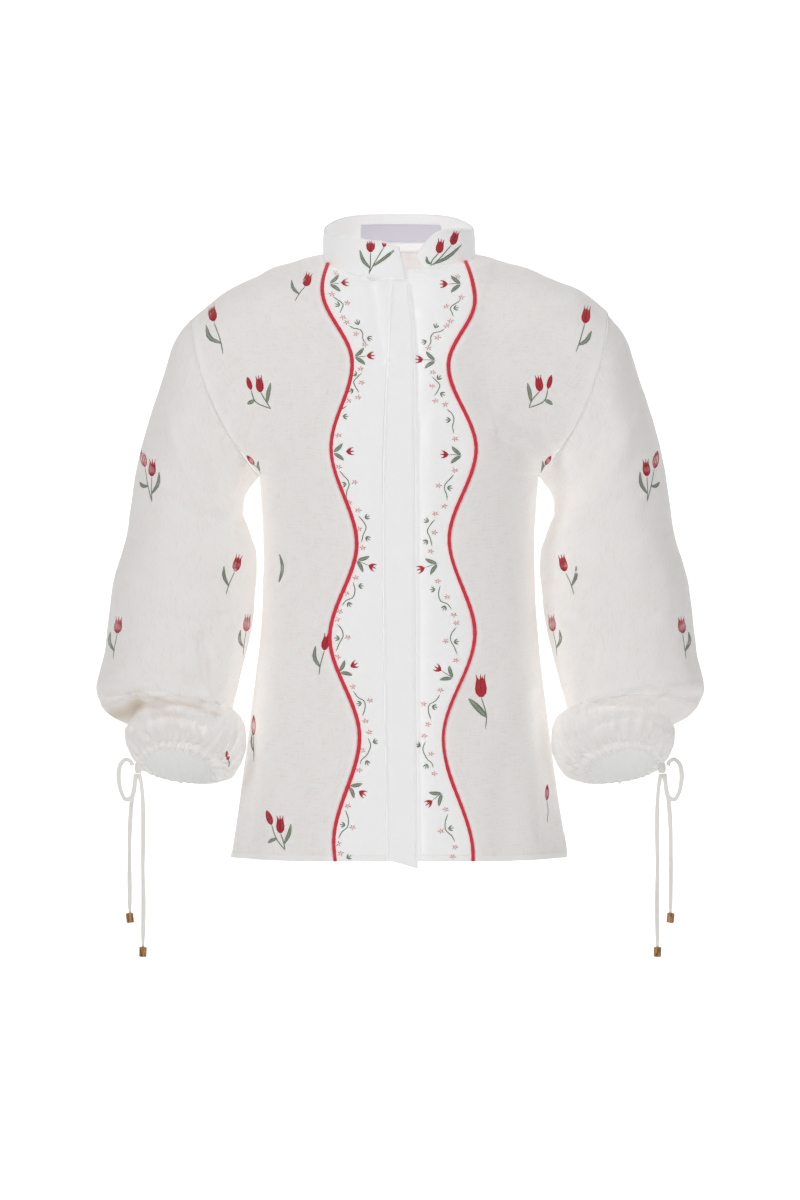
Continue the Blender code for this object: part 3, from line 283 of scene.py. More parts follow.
# Embroidered sprigs in seen pixels: the root, heads as (base, tip, width), narrow ones being
# buds, and leaves as (base, bend, tip, width).
SPRIGS = (
    dict(root=(295, 301), heads=(((305.5, 286), (309.5, 272.5), 8.5),),
         leaves=(((299, 294), (293, 288), (291.5, 280), 3.2),)),
    dict(root=(223, 354), heads=(((213.5, 321), (211, 304), 9),),
         leaves=(((221, 343), (210, 338), (206, 325), 4.5),)),
    dict(root=(271, 409), heads=(((260.5, 392), (258.5, 375.5), 8), ((251, 389.5), (247.3, 377), 5)),
         leaves=(((267, 403), (268.5, 392), (270.7, 383), 4), ((254.5, 400.5), (251, 402), (247.5, 404), 4))),
    dict(root=(260.3, 473.4), heads=(((254, 464.5), (247, 455.5), 5),),
         leaves=(((259.8, 471), (258, 466), (258.4, 461), 2.6),)),
    dict(root=(152, 502), heads=(((145, 466.5), (141.5, 450), 7), ((151.8, 476), (152.5, 459), 8)),
         leaves=(((151.5, 494), (158, 484), (159, 472), 3.6), ((148, 486), (143, 486), (139.5, 482), 3.6))),
    dict(root=(226, 594), heads=(((235, 571), (239.5, 554.5), 8.5),),
         leaves=(((228.5, 586), (224, 576), (224, 566), 3.6),)),
    dict(root=(113, 659), heads=(((117.3, 633), (119, 616.5), 8.5),),
         leaves=(((114, 651), (109.5, 642), (110.5, 632), 3.4),)),
    dict(root=(243, 656), heads=(((246, 631), (248, 614), 8),),
         leaves=(((243.6, 648), (239.5, 640), (240.5, 630), 3.2),)),
    dict(root=(279, 582), leaves=(((279, 582), (282.5, 568), (279.5, 554), 3.6),)),
    dict(root=(319, 675), heads=(((324.5, 650), (328, 633.5), 9),),
         leaves=(((320, 667), (314.5, 658), (315.5, 646), 4),)),
    dict(root=(253.8, 762), heads=(((253.4, 735), (253.8, 715), 5),),
         leaves=(((253.8, 752), (251.6, 744), (252, 734), 2),)),
    dict(root=(285, 850), heads=(((271.5, 824.5), (266.5, 810.5), 6.5), ((280.5, 833), (280, 815.5), 8.5)),
         leaves=(((284, 844), (289, 834), (291, 824), 3.8), ((276.5, 839), (272, 840), (268, 843), 3.6))),
    dict(root=(368.8, 274), heads=(((370.5, 252), (370.8, 234), 9), ((384, 247), (385, 236), 5)),
         leaves=(((372.5, 266.5), (386, 257), (399, 246), 3.4),
                 ((370, 268), (363.5, 261), (359.8, 250), 3.6))),
    dict(root=(431, 265.7), heads=(((438.6, 253), (441.5, 239), 8), ((452, 244.5), (457, 230.5), 8)),
         leaves=(((433, 264.3), (448, 257), (461.6, 244.6), 3.6),
                 ((431, 264), (427.5, 262), (426.5, 256.5), 3))),
    dict(root=(576, 352), heads=(((585, 323), (587.5, 306), 9),),
         leaves=(((578.5, 345), (586, 341), (591.5, 331), 4.2),)),
    dict(root=(529, 408), heads=(((540, 391), (538, 375), 8), ((548, 388.5), (551.5, 375), 5)),
         leaves=(((531, 402), (529.5, 392), (527.5, 383), 4), ((545, 400), (549, 402), (552.5, 404.5), 4))),
    dict(root=(647, 502), heads=(((647, 476), (645.5, 459), 8), ((654.5, 468), (657.5, 451), 7)),
         leaves=(((647.5, 494), (641, 484), (640, 472), 3.6), ((651, 486), (656, 486), (659.5, 482), 3.6))),
    dict(root=(541, 473), heads=(((545.5, 464.5), (551, 456), 5),),
         leaves=(((541.5, 471), (543, 466), (542.5, 461), 2.6),)),
    dict(root=(574, 595), heads=(((565, 571), (561, 554.5), 8.5),),
         leaves=(((571.5, 586), (576, 576), (576, 566), 3.6),)),
    dict(root=(557, 656), heads=(((553, 631), (551, 614), 8),),
         leaves=(((556.5, 648), (560.5, 640), (559.5, 630), 3.2),)),
    dict(root=(686, 659), heads=(((682.5, 633), (681, 616.5), 8.5),),
         leaves=(((685, 651), (689.5, 642), (688.5, 632), 3.4),)),
    dict(root=(532, 575), leaves=(((532, 575), (529, 552), (532, 528), 4),)),
    dict(root=(485.5, 729), heads=(((481.2, 697), (480.5, 674.5), 12),),
         leaves=(((486.5, 717), (478, 708), (468.7, 698.7), 6),)),
    dict(root=(547, 823), heads=(((546.8, 800), (547.2, 784.5), 4.5),)),
    dict(root=(228.5, 767), heads=(((228, 760), (227, 751), 4.5),)),
)

# The small tulips of the border, root and head, down each front.
BORDER_TULIPS = {
    RIGHT: (((329, 284), (345, 282.5)), ((354, 357), (370.5, 355.7)), ((332.5, 452.7), (350, 451.4)),
            ((356.4, 560), (372.2, 566.8)), ((339, 672.5), (354, 665)), ((349, 785.7), (362.4, 793.4))),
    LEFT: (((461.6, 284), (443.8, 284)), ((436, 360.7), (419.3, 359.5)), ((462, 455.4), (444.6, 454.5)),
           ((438, 563.5), (421, 569)), ((453.4, 678.6), (438, 668.6)), ((442.5, 793), (429, 803))),
}

# The border's vines, pairs of small leaves and loose flowers on the right front. On the left
# front they are mirrored about this column and stand a little lower.
VINES = (
    ((333, 296.5), (337, 299.5), (341, 302), (343.3, 305), (341.5, 309), (340, 313)),
    ((349, 325.4), (353, 328), (360, 329.5), (363, 334), (362.5, 338), (365, 343)),
    ((361.6, 373), (358, 376.5), (353.6, 382), (355, 386), (359, 392.5)),
    ((346.8, 405.7), (341.5, 410), (339.5, 416), (341, 423), (339.6, 430)),
    ((339.6, 470.9), (344, 476), (348.3, 480.8), (349.2, 485.3), (346.8, 491), (346.4, 496.8)),
    ((358.6, 516), (363.1, 521.2), (366.3, 527.6), (363.5, 534), (361.5, 542.4)),
    ((353.2, 582.2), (355, 590.5), (352.8, 597.6), (346, 600.5), (341.9, 605.9)),
    ((337.1, 624.1), (341.5, 629), (343.2, 635.8), (339.5, 643), (336.1, 651.1)),
    ((353.5, 691.2), (358, 697.5), (364.6, 701.5), (365, 708), (362.5, 716.1)),
    ((368, 737.8), (370.7, 746), (369.5, 749.9), (366, 756), (361, 760.5), (360.3, 764.4)),
    ((345.5, 810.3), (348.4, 819.5), (347.9, 826.3), (341.1, 833), (338.7, 838.4)),
)
SPROUTS = (
    (337.5, 304.5, 200), (357.5, 322.3, 250), (369.6, 338.4, 20), (354.5, 374, 230), (351, 390.7, 150),
    (345.5, 416.5, 0), (343.8, 484.5, 170), (367.2, 517, 330), (367.8, 538.5, 40), (360.9, 586, 0),
    (349.3, 604.6, 60), (337.1, 638.3, 190), (359, 703.5, 170), (375.3, 741.5, 330), (367.3, 762.9, 70),
    (342.6, 824.8, 190), (348.9, 857, 320),
)
FLORETS = (
    (335.7, 273), (332, 294), (347.3, 303), (343, 317.5), (346.8, 322.3), (356, 334), (365, 344.6),
    (360.7, 368.8), (361.6, 382.5), (358, 397.3), (348.2, 401), (338.4, 435.4), (338.7, 467),
    (354.7, 482.3), (349, 502.6), (358.3, 510.3), (359, 529), (362.7, 547.8), (355.8, 577.7),
    (346.4, 593.5), (339.7, 611.4), (337.1, 619.5), (347.8, 637.5), (337.6, 657), (352.9, 686.8),
    (369.9, 700.4), (365.6, 721), (369.2, 732.2), (362.4, 750.4), (359.3, 770.2), (347.9, 806),
    (352.6, 827.5), (338.4, 843.7), (340.7, 853.2),
)
BORDER_MIRROR, BORDER_DROP = 793.5, 3.5

# Sprigs where the photo doesn't show the cloth, seen square on: a place, a height, a lean and the
# number of tulips.
BACK_SPRIGS = (
    (292, 330, 46, 0.2, 1), (520, 318, 44, -0.25, 2), (402, 352, 46, 0.1, 1), (226, 372, 44, 0.3, 1),
    (580, 392, 42, -0.1, 1), (322, 448, 48, -0.2, 2), (474, 462, 46, 0.25, 1), (396, 540, 48, -0.1, 2),
    (282, 566, 44, 0.1, 1), (524, 588, 46, -0.3, 1), (350, 660, 46, 0.25, 1), (462, 700, 48, 0.0, 2),
    (270, 724, 44, -0.2, 1), (398, 790, 46, 0.2, 1), (530, 806, 44, -0.1, 2), (300, 836, 42, 0.15, 1),
)
SIDE_SPRIGS = (
    (412, 392, 44, 0.15, 1), (436, 470, 46, -0.2, 2), (410, 548, 44, 0.2, 1), (434, 624, 46, 0.1, 1),
)


def smooth(stations, values, at):
    """Reads a smooth curve through values given at rising stations."""
    stations = np.asarray(stations, float)
    values = np.asarray(values, float)
    slopes = np.gradient(values, stations)
    at = np.clip(np.asarray(at, float), stations[0], stations[-1])
    i = np.clip(np.searchsorted(stations, at, side="right") - 1, 0, len(stations) - 2)
    step = stations[i + 1] - stations[i]
    t = (at - stations[i]) / step
    return (
        (2 * t**3 - 3 * t**2 + 1) * values[i]
        + (t**3 - 2 * t**2 + t) * step * slopes[i]
        + (3 * t**2 - 2 * t**3) * values[i + 1]
        + (t**3 - t**2) * step * slopes[i + 1]
    )


def ramp(start, end, at):
    """0 at start, 1 at end, eased at both ends."""
    t = np.clip((np.asarray(at, float) - start) / (end - start), 0, 1)
    return t * t * (3 - 2 * t)


def unit(vectors):
    return vectors / np.maximum(np.linalg.norm(vectors, axis=-1, keepdims=True), 1e-9)


def spans(points, axis):
    """The steps from point to point of a grid or a path."""
    return np.linalg.norm(np.diff(points, axis=axis), axis=-1)


def distances(path):
    """How far each point of a path lies along it."""
    return np.concatenate([[0], np.cumsum(spans(path, 0))])


def curve(points, count):
    """Evenly spaced places along a smooth line through points."""
    points = np.asarray(points, float)
    steps = distances(points)
    at = np.linspace(0, steps[-1], count)
    return np.stack([smooth(steps, column, at) for column in points.T], -1)


def neck_seam(side, turn):
    a = np.radians(turn)
    c = np.cos(a)
    y = np.where(c > 0, -NECK_FRONT[side] * c, -NECK_BACK * c)
    z = NECK_SIDE_Z - np.where(c > 0, NECK_DROP[side], NECK_RISE) * c
    return np.stack([NECK_WIDTH * np.sin(a), y, z], -1)


def sleeve_ring(ring, turn):
    """A point of the sleeve; turn is 0 on its outer line, 90 in front and 180 at the underarm."""
    ring, turn = np.broadcast_arrays(np.asarray(ring, float), np.asarray(turn, float))
    rings = np.arange(len(SLEEVE["y"]))
    at = {name: smooth(rings, column, ring) for name, column in SLEEVE.items()}
    a, tilt = np.radians(turn), np.radians(at["tilt"])
    half_x = (at["outer_x"] - at["inner_x"]) / 2
    half_z = (at["outer_z"] - at["inner_z"]) / 2
    half = np.hypot(half_x, half_z)
    push = at["bow"] * np.sin(a) ** 2
    x = (at["outer_x"] + at["inner_x"]) / 2 + half_x * np.cos(a) + push * half_z / half
    z = (at["outer_z"] + at["inner_z"]) / 2 + half_z * np.cos(a) - push * half_x / half
    y = at["y"] - at["depth"] * np.cos(tilt) * np.sin(a)
    z = z + at["depth"] * np.sin(tilt) * np.sin(a) + at["back_lift"] * np.minimum(np.sin(a), 0) ** 2
    point = np.stack([x, y, z], -1)
    away = unit(np.stack([x - (at["outer_x"] + at["inner_x"]) / 2, y - at["y"], 0 * z], -1))
    wander = 0.9 * np.sin(3 * a + 0.7) + 0.6 * np.sin(7 * a)
    swell = at["gather"] * (np.cos(GATHERS * a + wander) + 0.35 * np.cos(17 * a + 2))
    for trough in SLEEVE_TROUGHS + ROUND_CREASES:
        apart = (turn - trough["turn"] + 180) % 360 - 180
        across = np.exp(-((apart / trough["turn_reach"]) ** 2))
        along = np.exp(-(((ring - trough["ring"]) / trough["ring_reach"]) ** 2))
        swell = swell - trough["deep"] * across * along
    return point + away * swell[..., None]


def row_start(side, face, row):
    neck = FRONT_NECK[side] if face == FRONT else BACK_NECK
    centre = FRONT_CENTRE[side] if face == FRONT else BACK_CENTRE
    first = neck["row"][0]
    z = UNDERARM_Z + (centre["z"][-1] - UNDERARM_Z) * np.minimum(row / first, 1)
    line = np.stack([np.zeros_like(z), face * smooth(centre["z"], centre["y"], z), z], -1)
    seam = neck_seam(side, np.interp(row, neck["row"], neck["turn"]))
    return np.where((row > first)[..., None], seam, line)


def body_point(side, face, row, across):
    """A point of the body, out being positive; the tables of the solids give its form."""
    row, across = np.broadcast_arrays(np.asarray(row, float), np.asarray(across, float))
    low = row < 0
    hem = HEM_Z[face] + (HEM_SIDE_Z - HEM_Z[face]) * across**2
    hem = hem + CORNER_RISE[side] * ramp(CORNER_FROM, 1, across)
    z = np.where(low, UNDERARM_Z + (UNDERARM_Z - hem) * row / LOW_ROWS, UNDERARM_Z)
    upper = np.maximum(row, 0)
    depth = smooth(TORSO["z"], TORSO["front" if face == FRONT else "back"], z)
    start = row_start(side, face, upper)
    end = sleeve_ring(0.0, 180 - 180 * upper / ARM_ROWS)
    end = np.stack([end[..., 0], -face * end[..., 1], end[..., 2]], -1)
    start = np.where(low[..., None], np.stack([0 * z, face * depth, z], -1), start)
    side_line = np.stack([smooth(TORSO["z"], TORSO["width"], z), 0 * z, z], -1)
    end = np.where(low[..., None], side_line, end)
    climb = ramp(0, 0.45 * ARM_ROWS, upper)
    s = np.abs(across)
    fraction = climb * s + (1 - climb) * np.sin(np.pi / 2 * np.minimum(s, 1))
    power = 1 / ROUNDING + (1 - 1 / ROUNDING) * climb
    bulge = np.maximum(1 - fraction**ROUNDING, 0) ** power
    x = start[..., 0] + (end[..., 0] - start[..., 0]) * fraction * np.sign(across)
    y = end[..., 1] + (start[..., 1] - end[..., 1]) * bulge
    z = start[..., 2] + (end[..., 2] - start[..., 2]) * fraction**1.7
    push = 0 * x
    for trough in BODY_TROUGHS:
        if (trough["face"], trough["side"]) == (face, side):
            reach = np.exp(-(((across - trough["across"]) / trough["width"]) ** 2))
            push = push + trough["deep"] * reach * ramp(trough["top"], HEM_SIDE_Z, z)
    inward = unit(np.stack([x, y, 0 * x], -1))
    if face == FRONT and side == LEFT:
        y = y + LAP_DEPTH * (1 - ramp(LAP_EASE[0], LAP_EASE[1], x))
    return np.stack([x, y, z], -1) - inward * push[..., None]


def across_at(side, rows, out):
    """How far across each row of the front lies a given distance out."""
    low, high = np.full(len(rows), -0.3), np.ones(len(rows))
    for _ in range(34):
        middle = (low + high) / 2
        point = body_point(side, FRONT, rows, middle)
        short = point[:, 0] < out(point[:, 2])
        low, high = np.where(short, middle, low), np.where(short, high, middle)
    return (low + high) / 2


def wave_out(side, shift=0.0):
    wave = WAVE[side]

    def out(z):
        slope = (smooth(wave["z"], wave["out"], z + 2) - smooth(wave["z"], wave["out"], z - 2)) / 4
        return smooth(wave["z"], wave["out"], z) + shift * np.hypot(1, slope)

    return out


def fly_edge_out(z):
    return -smooth(FLY_EDGE["z"], FLY_EDGE["out"], z)


def fly_seam_out(z):
    return smooth(FLY_SEAM["z"], FLY_SEAM["out"], z)


def seen(points):
    """Where points in mm show in the front view, in its pixels."""
    scale = -EYE_Y / (points[..., 1] - EYE_Y) / PIXEL
    return np.stack([MIDDLE_X + (points[..., 0] - EYE_X) * scale,
                     MIDDLE_Y - (points[..., 2] - EYE_Z) * scale], -1)


def from_line(places, line):
    """How far each place lies from a bent line, and the same with a sign for its side."""
    line = np.array(line, float)
    nearest = np.full(places.shape[:-1], np.inf)
    signed = np.zeros(nearest.shape)
    for a, b in zip(line, line[1:]):
        run = b - a
        t = np.clip(((places - a) @ run) / (run @ run), 0, 1)
        off = places - (a + t[..., None] * run)
        apart = np.hypot(off[..., 0], off[..., 1])
        turn = np.sign(run[0] * off[..., 1] - run[1] * off[..., 0])
        signed = np.where(apart < nearest, turn * apart, signed)
        nearest = np.minimum(nearest, apart)
    return nearest, signed


def crease_lift(places, creases):
    """How far the creases raise each place; a trough has a soft ridge along one side."""
    lift = np.zeros(places.shape[:-1])
    for number, crease in enumerate(creases):
        apart, signed = from_line(places, crease["line"])
        wide = crease["wide"]
        ridge_side = 1 if number % 2 else -1
        trough = np.exp(-((apart / wide) ** 2))
        ridge = np.exp(-(((signed * ridge_side - 2 * wide) / (1.3 * wide)) ** 2))
        shape = 0.4 * ridge * (apart < 6 * wide) - trough
        lift = lift + FOLD_DEPTH * crease["deep"] * shape
    return lift


def fold_shade(points, side):
    """How far each point lies in the shade under the sleeve's fold, 0 to 1."""
    places = seen(mirror(points, side) if side != RIGHT else points)
    shade = np.zeros(places.shape[:-1])
    for fold in FOLD_SHADES:
        apart, _ = from_line(places, fold["line"])
        shade = np.maximum(shade, fold["deep"] * np.exp(-((apart / fold["wide"]) ** 2)))
    return shade


def faces_to(normals, way):
    """How squarely a surface faces the front or the back, 0 to 1."""
    return np.clip((way * normals[..., 1] - 0.05) / 0.35, 0, 1)


def ripple(points, seed):
    """The slight unevenness of washed linen, from a few slow waves."""
    waves = np.random.default_rng(seed)
    lift = np.zeros(points.shape[:-1])
    for size, amount in ((0.035, 0.55), (0.06, 0.4), (0.11, 0.25), (0.2, 0.14)):
        for _ in range(4):
            run = waves.normal(size=3) * (1, 0.8, 0.45) * size
            lift = lift + amount / 2 * np.sin(points @ run + waves.uniform(0, 6.28))
    return lift


def grid_normals(points, closed):
    if closed:
        wide = np.roll(points, -1, 1) - np.roll(points, 1, 1)
    else:
        wide = np.gradient(points, axis=1)
    return unit(np.cross(np.gradient(points, axis=0), wide))


class Cloth:
    """A cut piece as a fine grid: rows run up or along the piece, columns across it.

    It faces away from inside. A closed one runs round on itself and faces out of its own middle."""

    def __init__(self, points, inside=INSIDE, closed=False):
        self.closed = closed
        self.points = points
        self.normals = grid_normals(points, closed)
        inside = points.mean(1, keepdims=True) if closed else np.array(inside, float)
        self.flip = np.median((self.normals * (points - inside)).sum(-1)) < 0
        if self.flip:
            self.normals = -self.normals

    def raise_by(self, lift):
        self.points = self.points + self.normals * lift[..., None]
        normals = grid_normals(self.points, self.closed)
        self.normals = -normals if self.flip else normals

    def whole(self):
        """The points, with the first column again as the last where the cloth is closed."""
        return np.concatenate([self.points, self.points[:, :1]], 1) if self.closed else self.points

    def lengths(self):
        """Distances along the rows and along the columns from each one's start."""
        across, along = spans(self.points, 1), spans(self.points, 0)
        u = np.concatenate([np.zeros((len(across), 1)), np.cumsum(across, 1)], 1)
        v = np.concatenate([np.zeros((1, along.shape[1])), np.cumsum(along, 0)], 0)
        return u, v

    def faces(self):
        rows, columns = self.points.shape[:2]
        index = np.arange(rows * columns).reshape(rows, columns)
        if self.closed:
            index = np.concatenate([index, index[:, :1]], 1)
        quads = np.stack([index[:-1, :-1], index[:-1, 1:], index[1:, 1:], index[1:, :-1]], -1)
        quads = quads.reshape(-1, 4)
        return quads if self.flip else quads[:, ::-1]

    def at(self, row, column):
        """Points and normals at fractional rows and columns."""
        rows, columns = self.points.shape[:2]
        row = np.clip(np.asarray(row, float), 0, rows - 1.001)
        column = np.asarray(column, float)
        column = column % columns if self.closed else np.clip(column, 0, columns - 1.001)
        i, j = row.astype(int), column.astype(int)
        a, b = (row - i)[..., None], (column - j)[..., None]
        k = (j + 1) % columns
        found = []
        for table in (self.points, self.normals):
            low = table[i, j] * (1 - b) + table[i, k] * b
            high = table[i + 1, j] * (1 - b) + table[i + 1, k] * b
            found.append(low * (1 - a) + high * a)
        return found[0], unit(found[1])


def new_piece(name, points, faces, materials, face_material=None):
    """A mesh piece at the origin, its points given in mm."""
    mesh = bpy.data.meshes.new(name)
    points = np.asarray(points, float).reshape(-1, 3) * MM
    if isinstance(faces, np.ndarray):
        mesh.vertices.add(len(points))
        mesh.vertices.foreach_set("co", points.ravel())
        size = faces.shape[1]
        mesh.loops.add(faces.size)
        mesh.loops.foreach_set("vertex_index", faces.ravel().astype(np.int32))
        mesh.polygons.add(len(faces))
        mesh.polygons.foreach_set("loop_start", np.arange(len(faces), dtype=np.int32) * size)
        mesh.update(calc_edges=True)
    else:
        mesh.from_pydata(points.tolist(), [], faces)
    for material in materials:
        mesh.materials.append(material)
    if face_material is not None:
        mesh.polygons.foreach_set("material_index", np.asarray(face_material, np.int32))
    mesh.shade_smooth()
    mesh.update()
    piece = bpy.data.objects.new(name, mesh)
    bpy.context.scene.collection.objects.link(piece)
    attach(piece, "root")
    return piece


def lay_out(mesh, places):
    """Gives each vertex its place in mm on the flat cloth, which the weave follows."""
    loops = np.empty(len(mesh.loops), np.int32)
    mesh.loops.foreach_get("vertex_index", loops)
    layer = mesh.uv_layers.new(name="cloth")
    layer.data.foreach_set("uv", (places * MM)[loops].ravel())


def sew(name, cloth, wall, material, seam=None, hem=None, shade=None, painted_inner_shade=0.0,
        joined=()):
    """Makes a thin closed cloth of the grid, with its weave's coordinates and its seam distances.

    shade is painted shade, 0 to 1 at each point of its outside; the inside's painted shade is one value for
    all of it.
    joined names the ends, first or last, that run on into another cloth and so have no rim."""
    outer = cloth.points.reshape(-1, 3)
    inner = outer - cloth.normals.reshape(-1, 3) * wall
    count = len(outer)
    rows, columns = cloth.points.shape[:2]
    index = np.arange(count).reshape(rows, columns)
    rims = []
    if "first" not in joined:
        rims.append((index[0], False))
    if "last" not in joined:
        rims.append((index[-1], True))
    if not cloth.closed:
        rims.append((index[:, 0], True))
        rims.append((index[:, -1], False))
    faces = [cloth.faces(), cloth.faces()[:, ::-1] + count]
    for line, forward in rims:
        a, b = line[:-1], line[1:]
        if cloth.closed:
            a, b = line, np.roll(line, -1)
        quads = np.stack([a, b, b + count, a + count], -1)
        if forward != cloth.flip:
            quads = quads[:, ::-1]
        faces.append(quads)
    piece = new_piece(name, np.concatenate([outer, inner]), np.concatenate(faces), [material])
    u, v = cloth.lengths()
    if cloth.closed:
        u = np.broadcast_to(np.arange(columns) / columns * u[:, -1].mean(), u.shape)
    uv = np.stack([u, v], -1).reshape(-1, 2)
    lay_out(piece.data, np.concatenate([uv, uv]))
    seam, hem = FAR if seam is None else seam, FAR if hem is None else hem
    shade = 0.0 if shade is None else shade
    for label, outside, inside in (("seam", seam, seam), ("hem", hem, hem),
                                   ("shade", shade, 0.0), ("painted_inner_shade", 0.0, painted_inner_shade)):
        values = [np.broadcast_to(part, u.shape).ravel() for part in (outside, inside)]
        attribute = piece.data.attributes.new(label, "FLOAT", "POINT")
        attribute.data.foreach_set("value", np.concatenate(values).astype(np.float32))
    return piece


def declare(cloths, full=1.0):
    """Works out the width, length and area of a piece's flat cut but keeps none of them; full is how much
    wider it was cut than it stands.

    Of more than one cloth, the second runs on from the first's far end."""
    area = 0.0
    for cloth in cloths:
        points = cloth.whole()
        one, other = points[1:, 1:] - points[:-1, :-1], points[1:, :-1] - points[:-1, 1:]
        area += np.linalg.norm(np.cross(one, other), axis=-1).sum() / 2
    wide = spans(cloths[0].whole(), 1).sum(1).max() * full
    columns = spans(cloths[0].points, 0).sum(0)
    if len(cloths) > 1:
        upper = spans(cloths[1].points, 0).sum(0)
        columns = columns[:len(upper)][::-1] + upper
    wide, long = round(wide * MM, 3), round(columns.max() * MM, 3)
    area = min(area * full * MM * MM, wide * long)


class Num:
    """A shader socket that takes part in sums."""

    def __init__(self, shader, socket):
        self.shader, self.socket = shader, socket

    def _math(self, operation, *values):
        node = self.shader.node("ShaderNodeMath", dict(operation=operation), *values)
        return Num(self.shader, node.outputs[0])

    def __add__(self, other):
        return self._math("ADD", self, other)

    def __sub__(self, other):
        return self._math("SUBTRACT", self, other)

    def __mul__(self, other):
        return self._math("MULTIPLY", self, other)

    def __rsub__(self, other):
        return self._math("SUBTRACT", other, self)

    __radd__, __rmul__ = __add__, __mul__

    def sine(self):
        return self._math("SINE", self)

    def between(self, low, high):
        """0 below low, 1 above high, eased."""
        node = self.shader.node("ShaderNodeMapRange", dict(interpolation_type="SMOOTHSTEP"),
                                self, low, high, 0.0, 1.0)
        return Num(self.shader, node.outputs[0])


class Shader:
    """A material built from plain sums; roughness and sheen are set on its own sockets."""

    def __init__(self, name, roughness, specular, sheen=0.0):
        self.material = bpy.data.materials.new(name)
        self.material.use_nodes = True
        self.tree = self.material.node_tree
        self.principled = self.tree.nodes["Principled BSDF"]
        self.set("Roughness", roughness)
        self.set("Specular IOR Level", specular)
        self.set("Sheen Weight", sheen)
        self.set("Sheen Roughness", 0.4)

    def fill(self, socket, value):
        if isinstance(value, Num):
            self.tree.links.new(value.socket, socket)
        else:
            socket.default_value = value

    def set(self, socket, value):
        self.fill(self.principled.inputs[socket], value)

    def node(self, kind, settings, *values, **named):
        node = self.tree.nodes.new(kind)
        for key, value in settings.items():
            setattr(node, key, value)
        for key, value in list(enumerate(values)) + list(named.items()):
            self.fill(node.inputs[key], value)
        return node

    def attribute(self, name):
        return Num(self, self.node("ShaderNodeAttribute", dict(attribute_name=name)).outputs["Fac"])

    def weave_place(self):
        """The place on the flat cloth, in metres."""
        return Num(self, self.node("ShaderNodeUVMap", dict(uv_map="cloth")).outputs["UV"])

    def uv(self, scale):
        node = self.node("ShaderNodeMapping", {}, self.weave_place(), Scale=scale)
        return Num(self, node.outputs[0])

    def place(self, scale=(1, 1, 1)):
        source = Num(self, self.node("ShaderNodeTexCoord", {}).outputs["Object"])
        return Num(self, self.node("ShaderNodeMapping", {}, source, Scale=scale).outputs[0])

    def noise(self, where, detail=2.0, roughness=0.5):
        node = self.node("ShaderNodeTexNoise", {}, Vector=where, Scale=1.0, Detail=detail,
                         Roughness=roughness)
        return Num(self, node.outputs["Fac"])

    def mix(self, part, first, second):
        node = self.node("ShaderNodeMix", dict(data_type="RGBA"))
        sockets = [s for s in node.inputs if s.enabled]
        for socket, value in zip(sockets, (part, first, second)):
            self.fill(socket, value)
        return Num(self, [s for s in node.outputs if s.enabled][0])

    def bump(self, height, depth, strength=1.0):
        node = self.node("ShaderNodeBump", {}, Height=height, Distance=depth, Strength=strength)
        self.set("Normal", Num(self, node.outputs["Normal"]))


def rgb(red, green, blue):
    """A colour given by its screen values, 0 to 255."""
    return tuple((v / 255) ** 2.2 for v in (red, green, blue)) + (1.0,)


def linen(name, light, dark, slub, thread):
    """Plain woven linen: uneven threads both ways, a denser band at the seams, a stitched hem."""
    shader = Shader(name, roughness=0.88, sheen=0.12, specular=0.18)
    weft = shader.noise(shader.uv((70, thread, 1)), detail=3.0, roughness=0.62)
    warp = shader.noise(shader.uv((thread * 1.07, 62, 1)), detail=3.0, roughness=0.62)
    cloudy = shader.noise(shader.uv((34, 22, 1)), detail=2.0)
    seam = shader.attribute("seam")
    hem = shader.attribute("hem")
    doubled = (1 - seam.between(7.0, 8.0)) + (1 - hem.between(6.0, 6.8))
    ridge = (1 - seam.between(0.3, 1.6)) * 0.5
    threads = (weft + warp) * 0.5
    tone = threads.between(0.5 - slub, 0.5 + slub) * 0.75 + cloudy * 0.25
    base = shader.mix(tone, dark, light)
    base = shader.mix(doubled * 0.45, base, rgb(243, 242, 240))
    base = shader.mix(ridge * 0.5, base, rgb(214, 210, 204))
    # Painted shade: the inside of the sleeves and casings is tinted a darker, cooler grey.
    base = shader.mix(shader.attribute("painted_inner_shade"), base, rgb(228, 230, 230))
    base = shader.mix(shader.attribute("shade"), base, rgb(206, 192, 176))
    shader.set("Base Color", base)
    # Painted light: the cloth glows faintly in its own colour, which lifts its shadows.
    shader.set("Emission Color", base)
    shader.set("Emission Strength", 0.225)
    shader.bump(threads - ridge * 0.6, 0.00045, 0.55)
    return shader.material


def thread_material(name, light, dark):
    """Embroidery thread: fine strands with a silky light along each stitch."""
    shader = Shader(name, roughness=0.5, sheen=0.25, specular=0.4)
    flecks = shader.noise(shader.place((900, 900, 900)), detail=2.0)
    shader.set("Base Color", shader.mix(flecks.between(0.3, 0.7), dark, light))
    shader.bump(flecks, 0.0002, 0.5)
    return shader.material


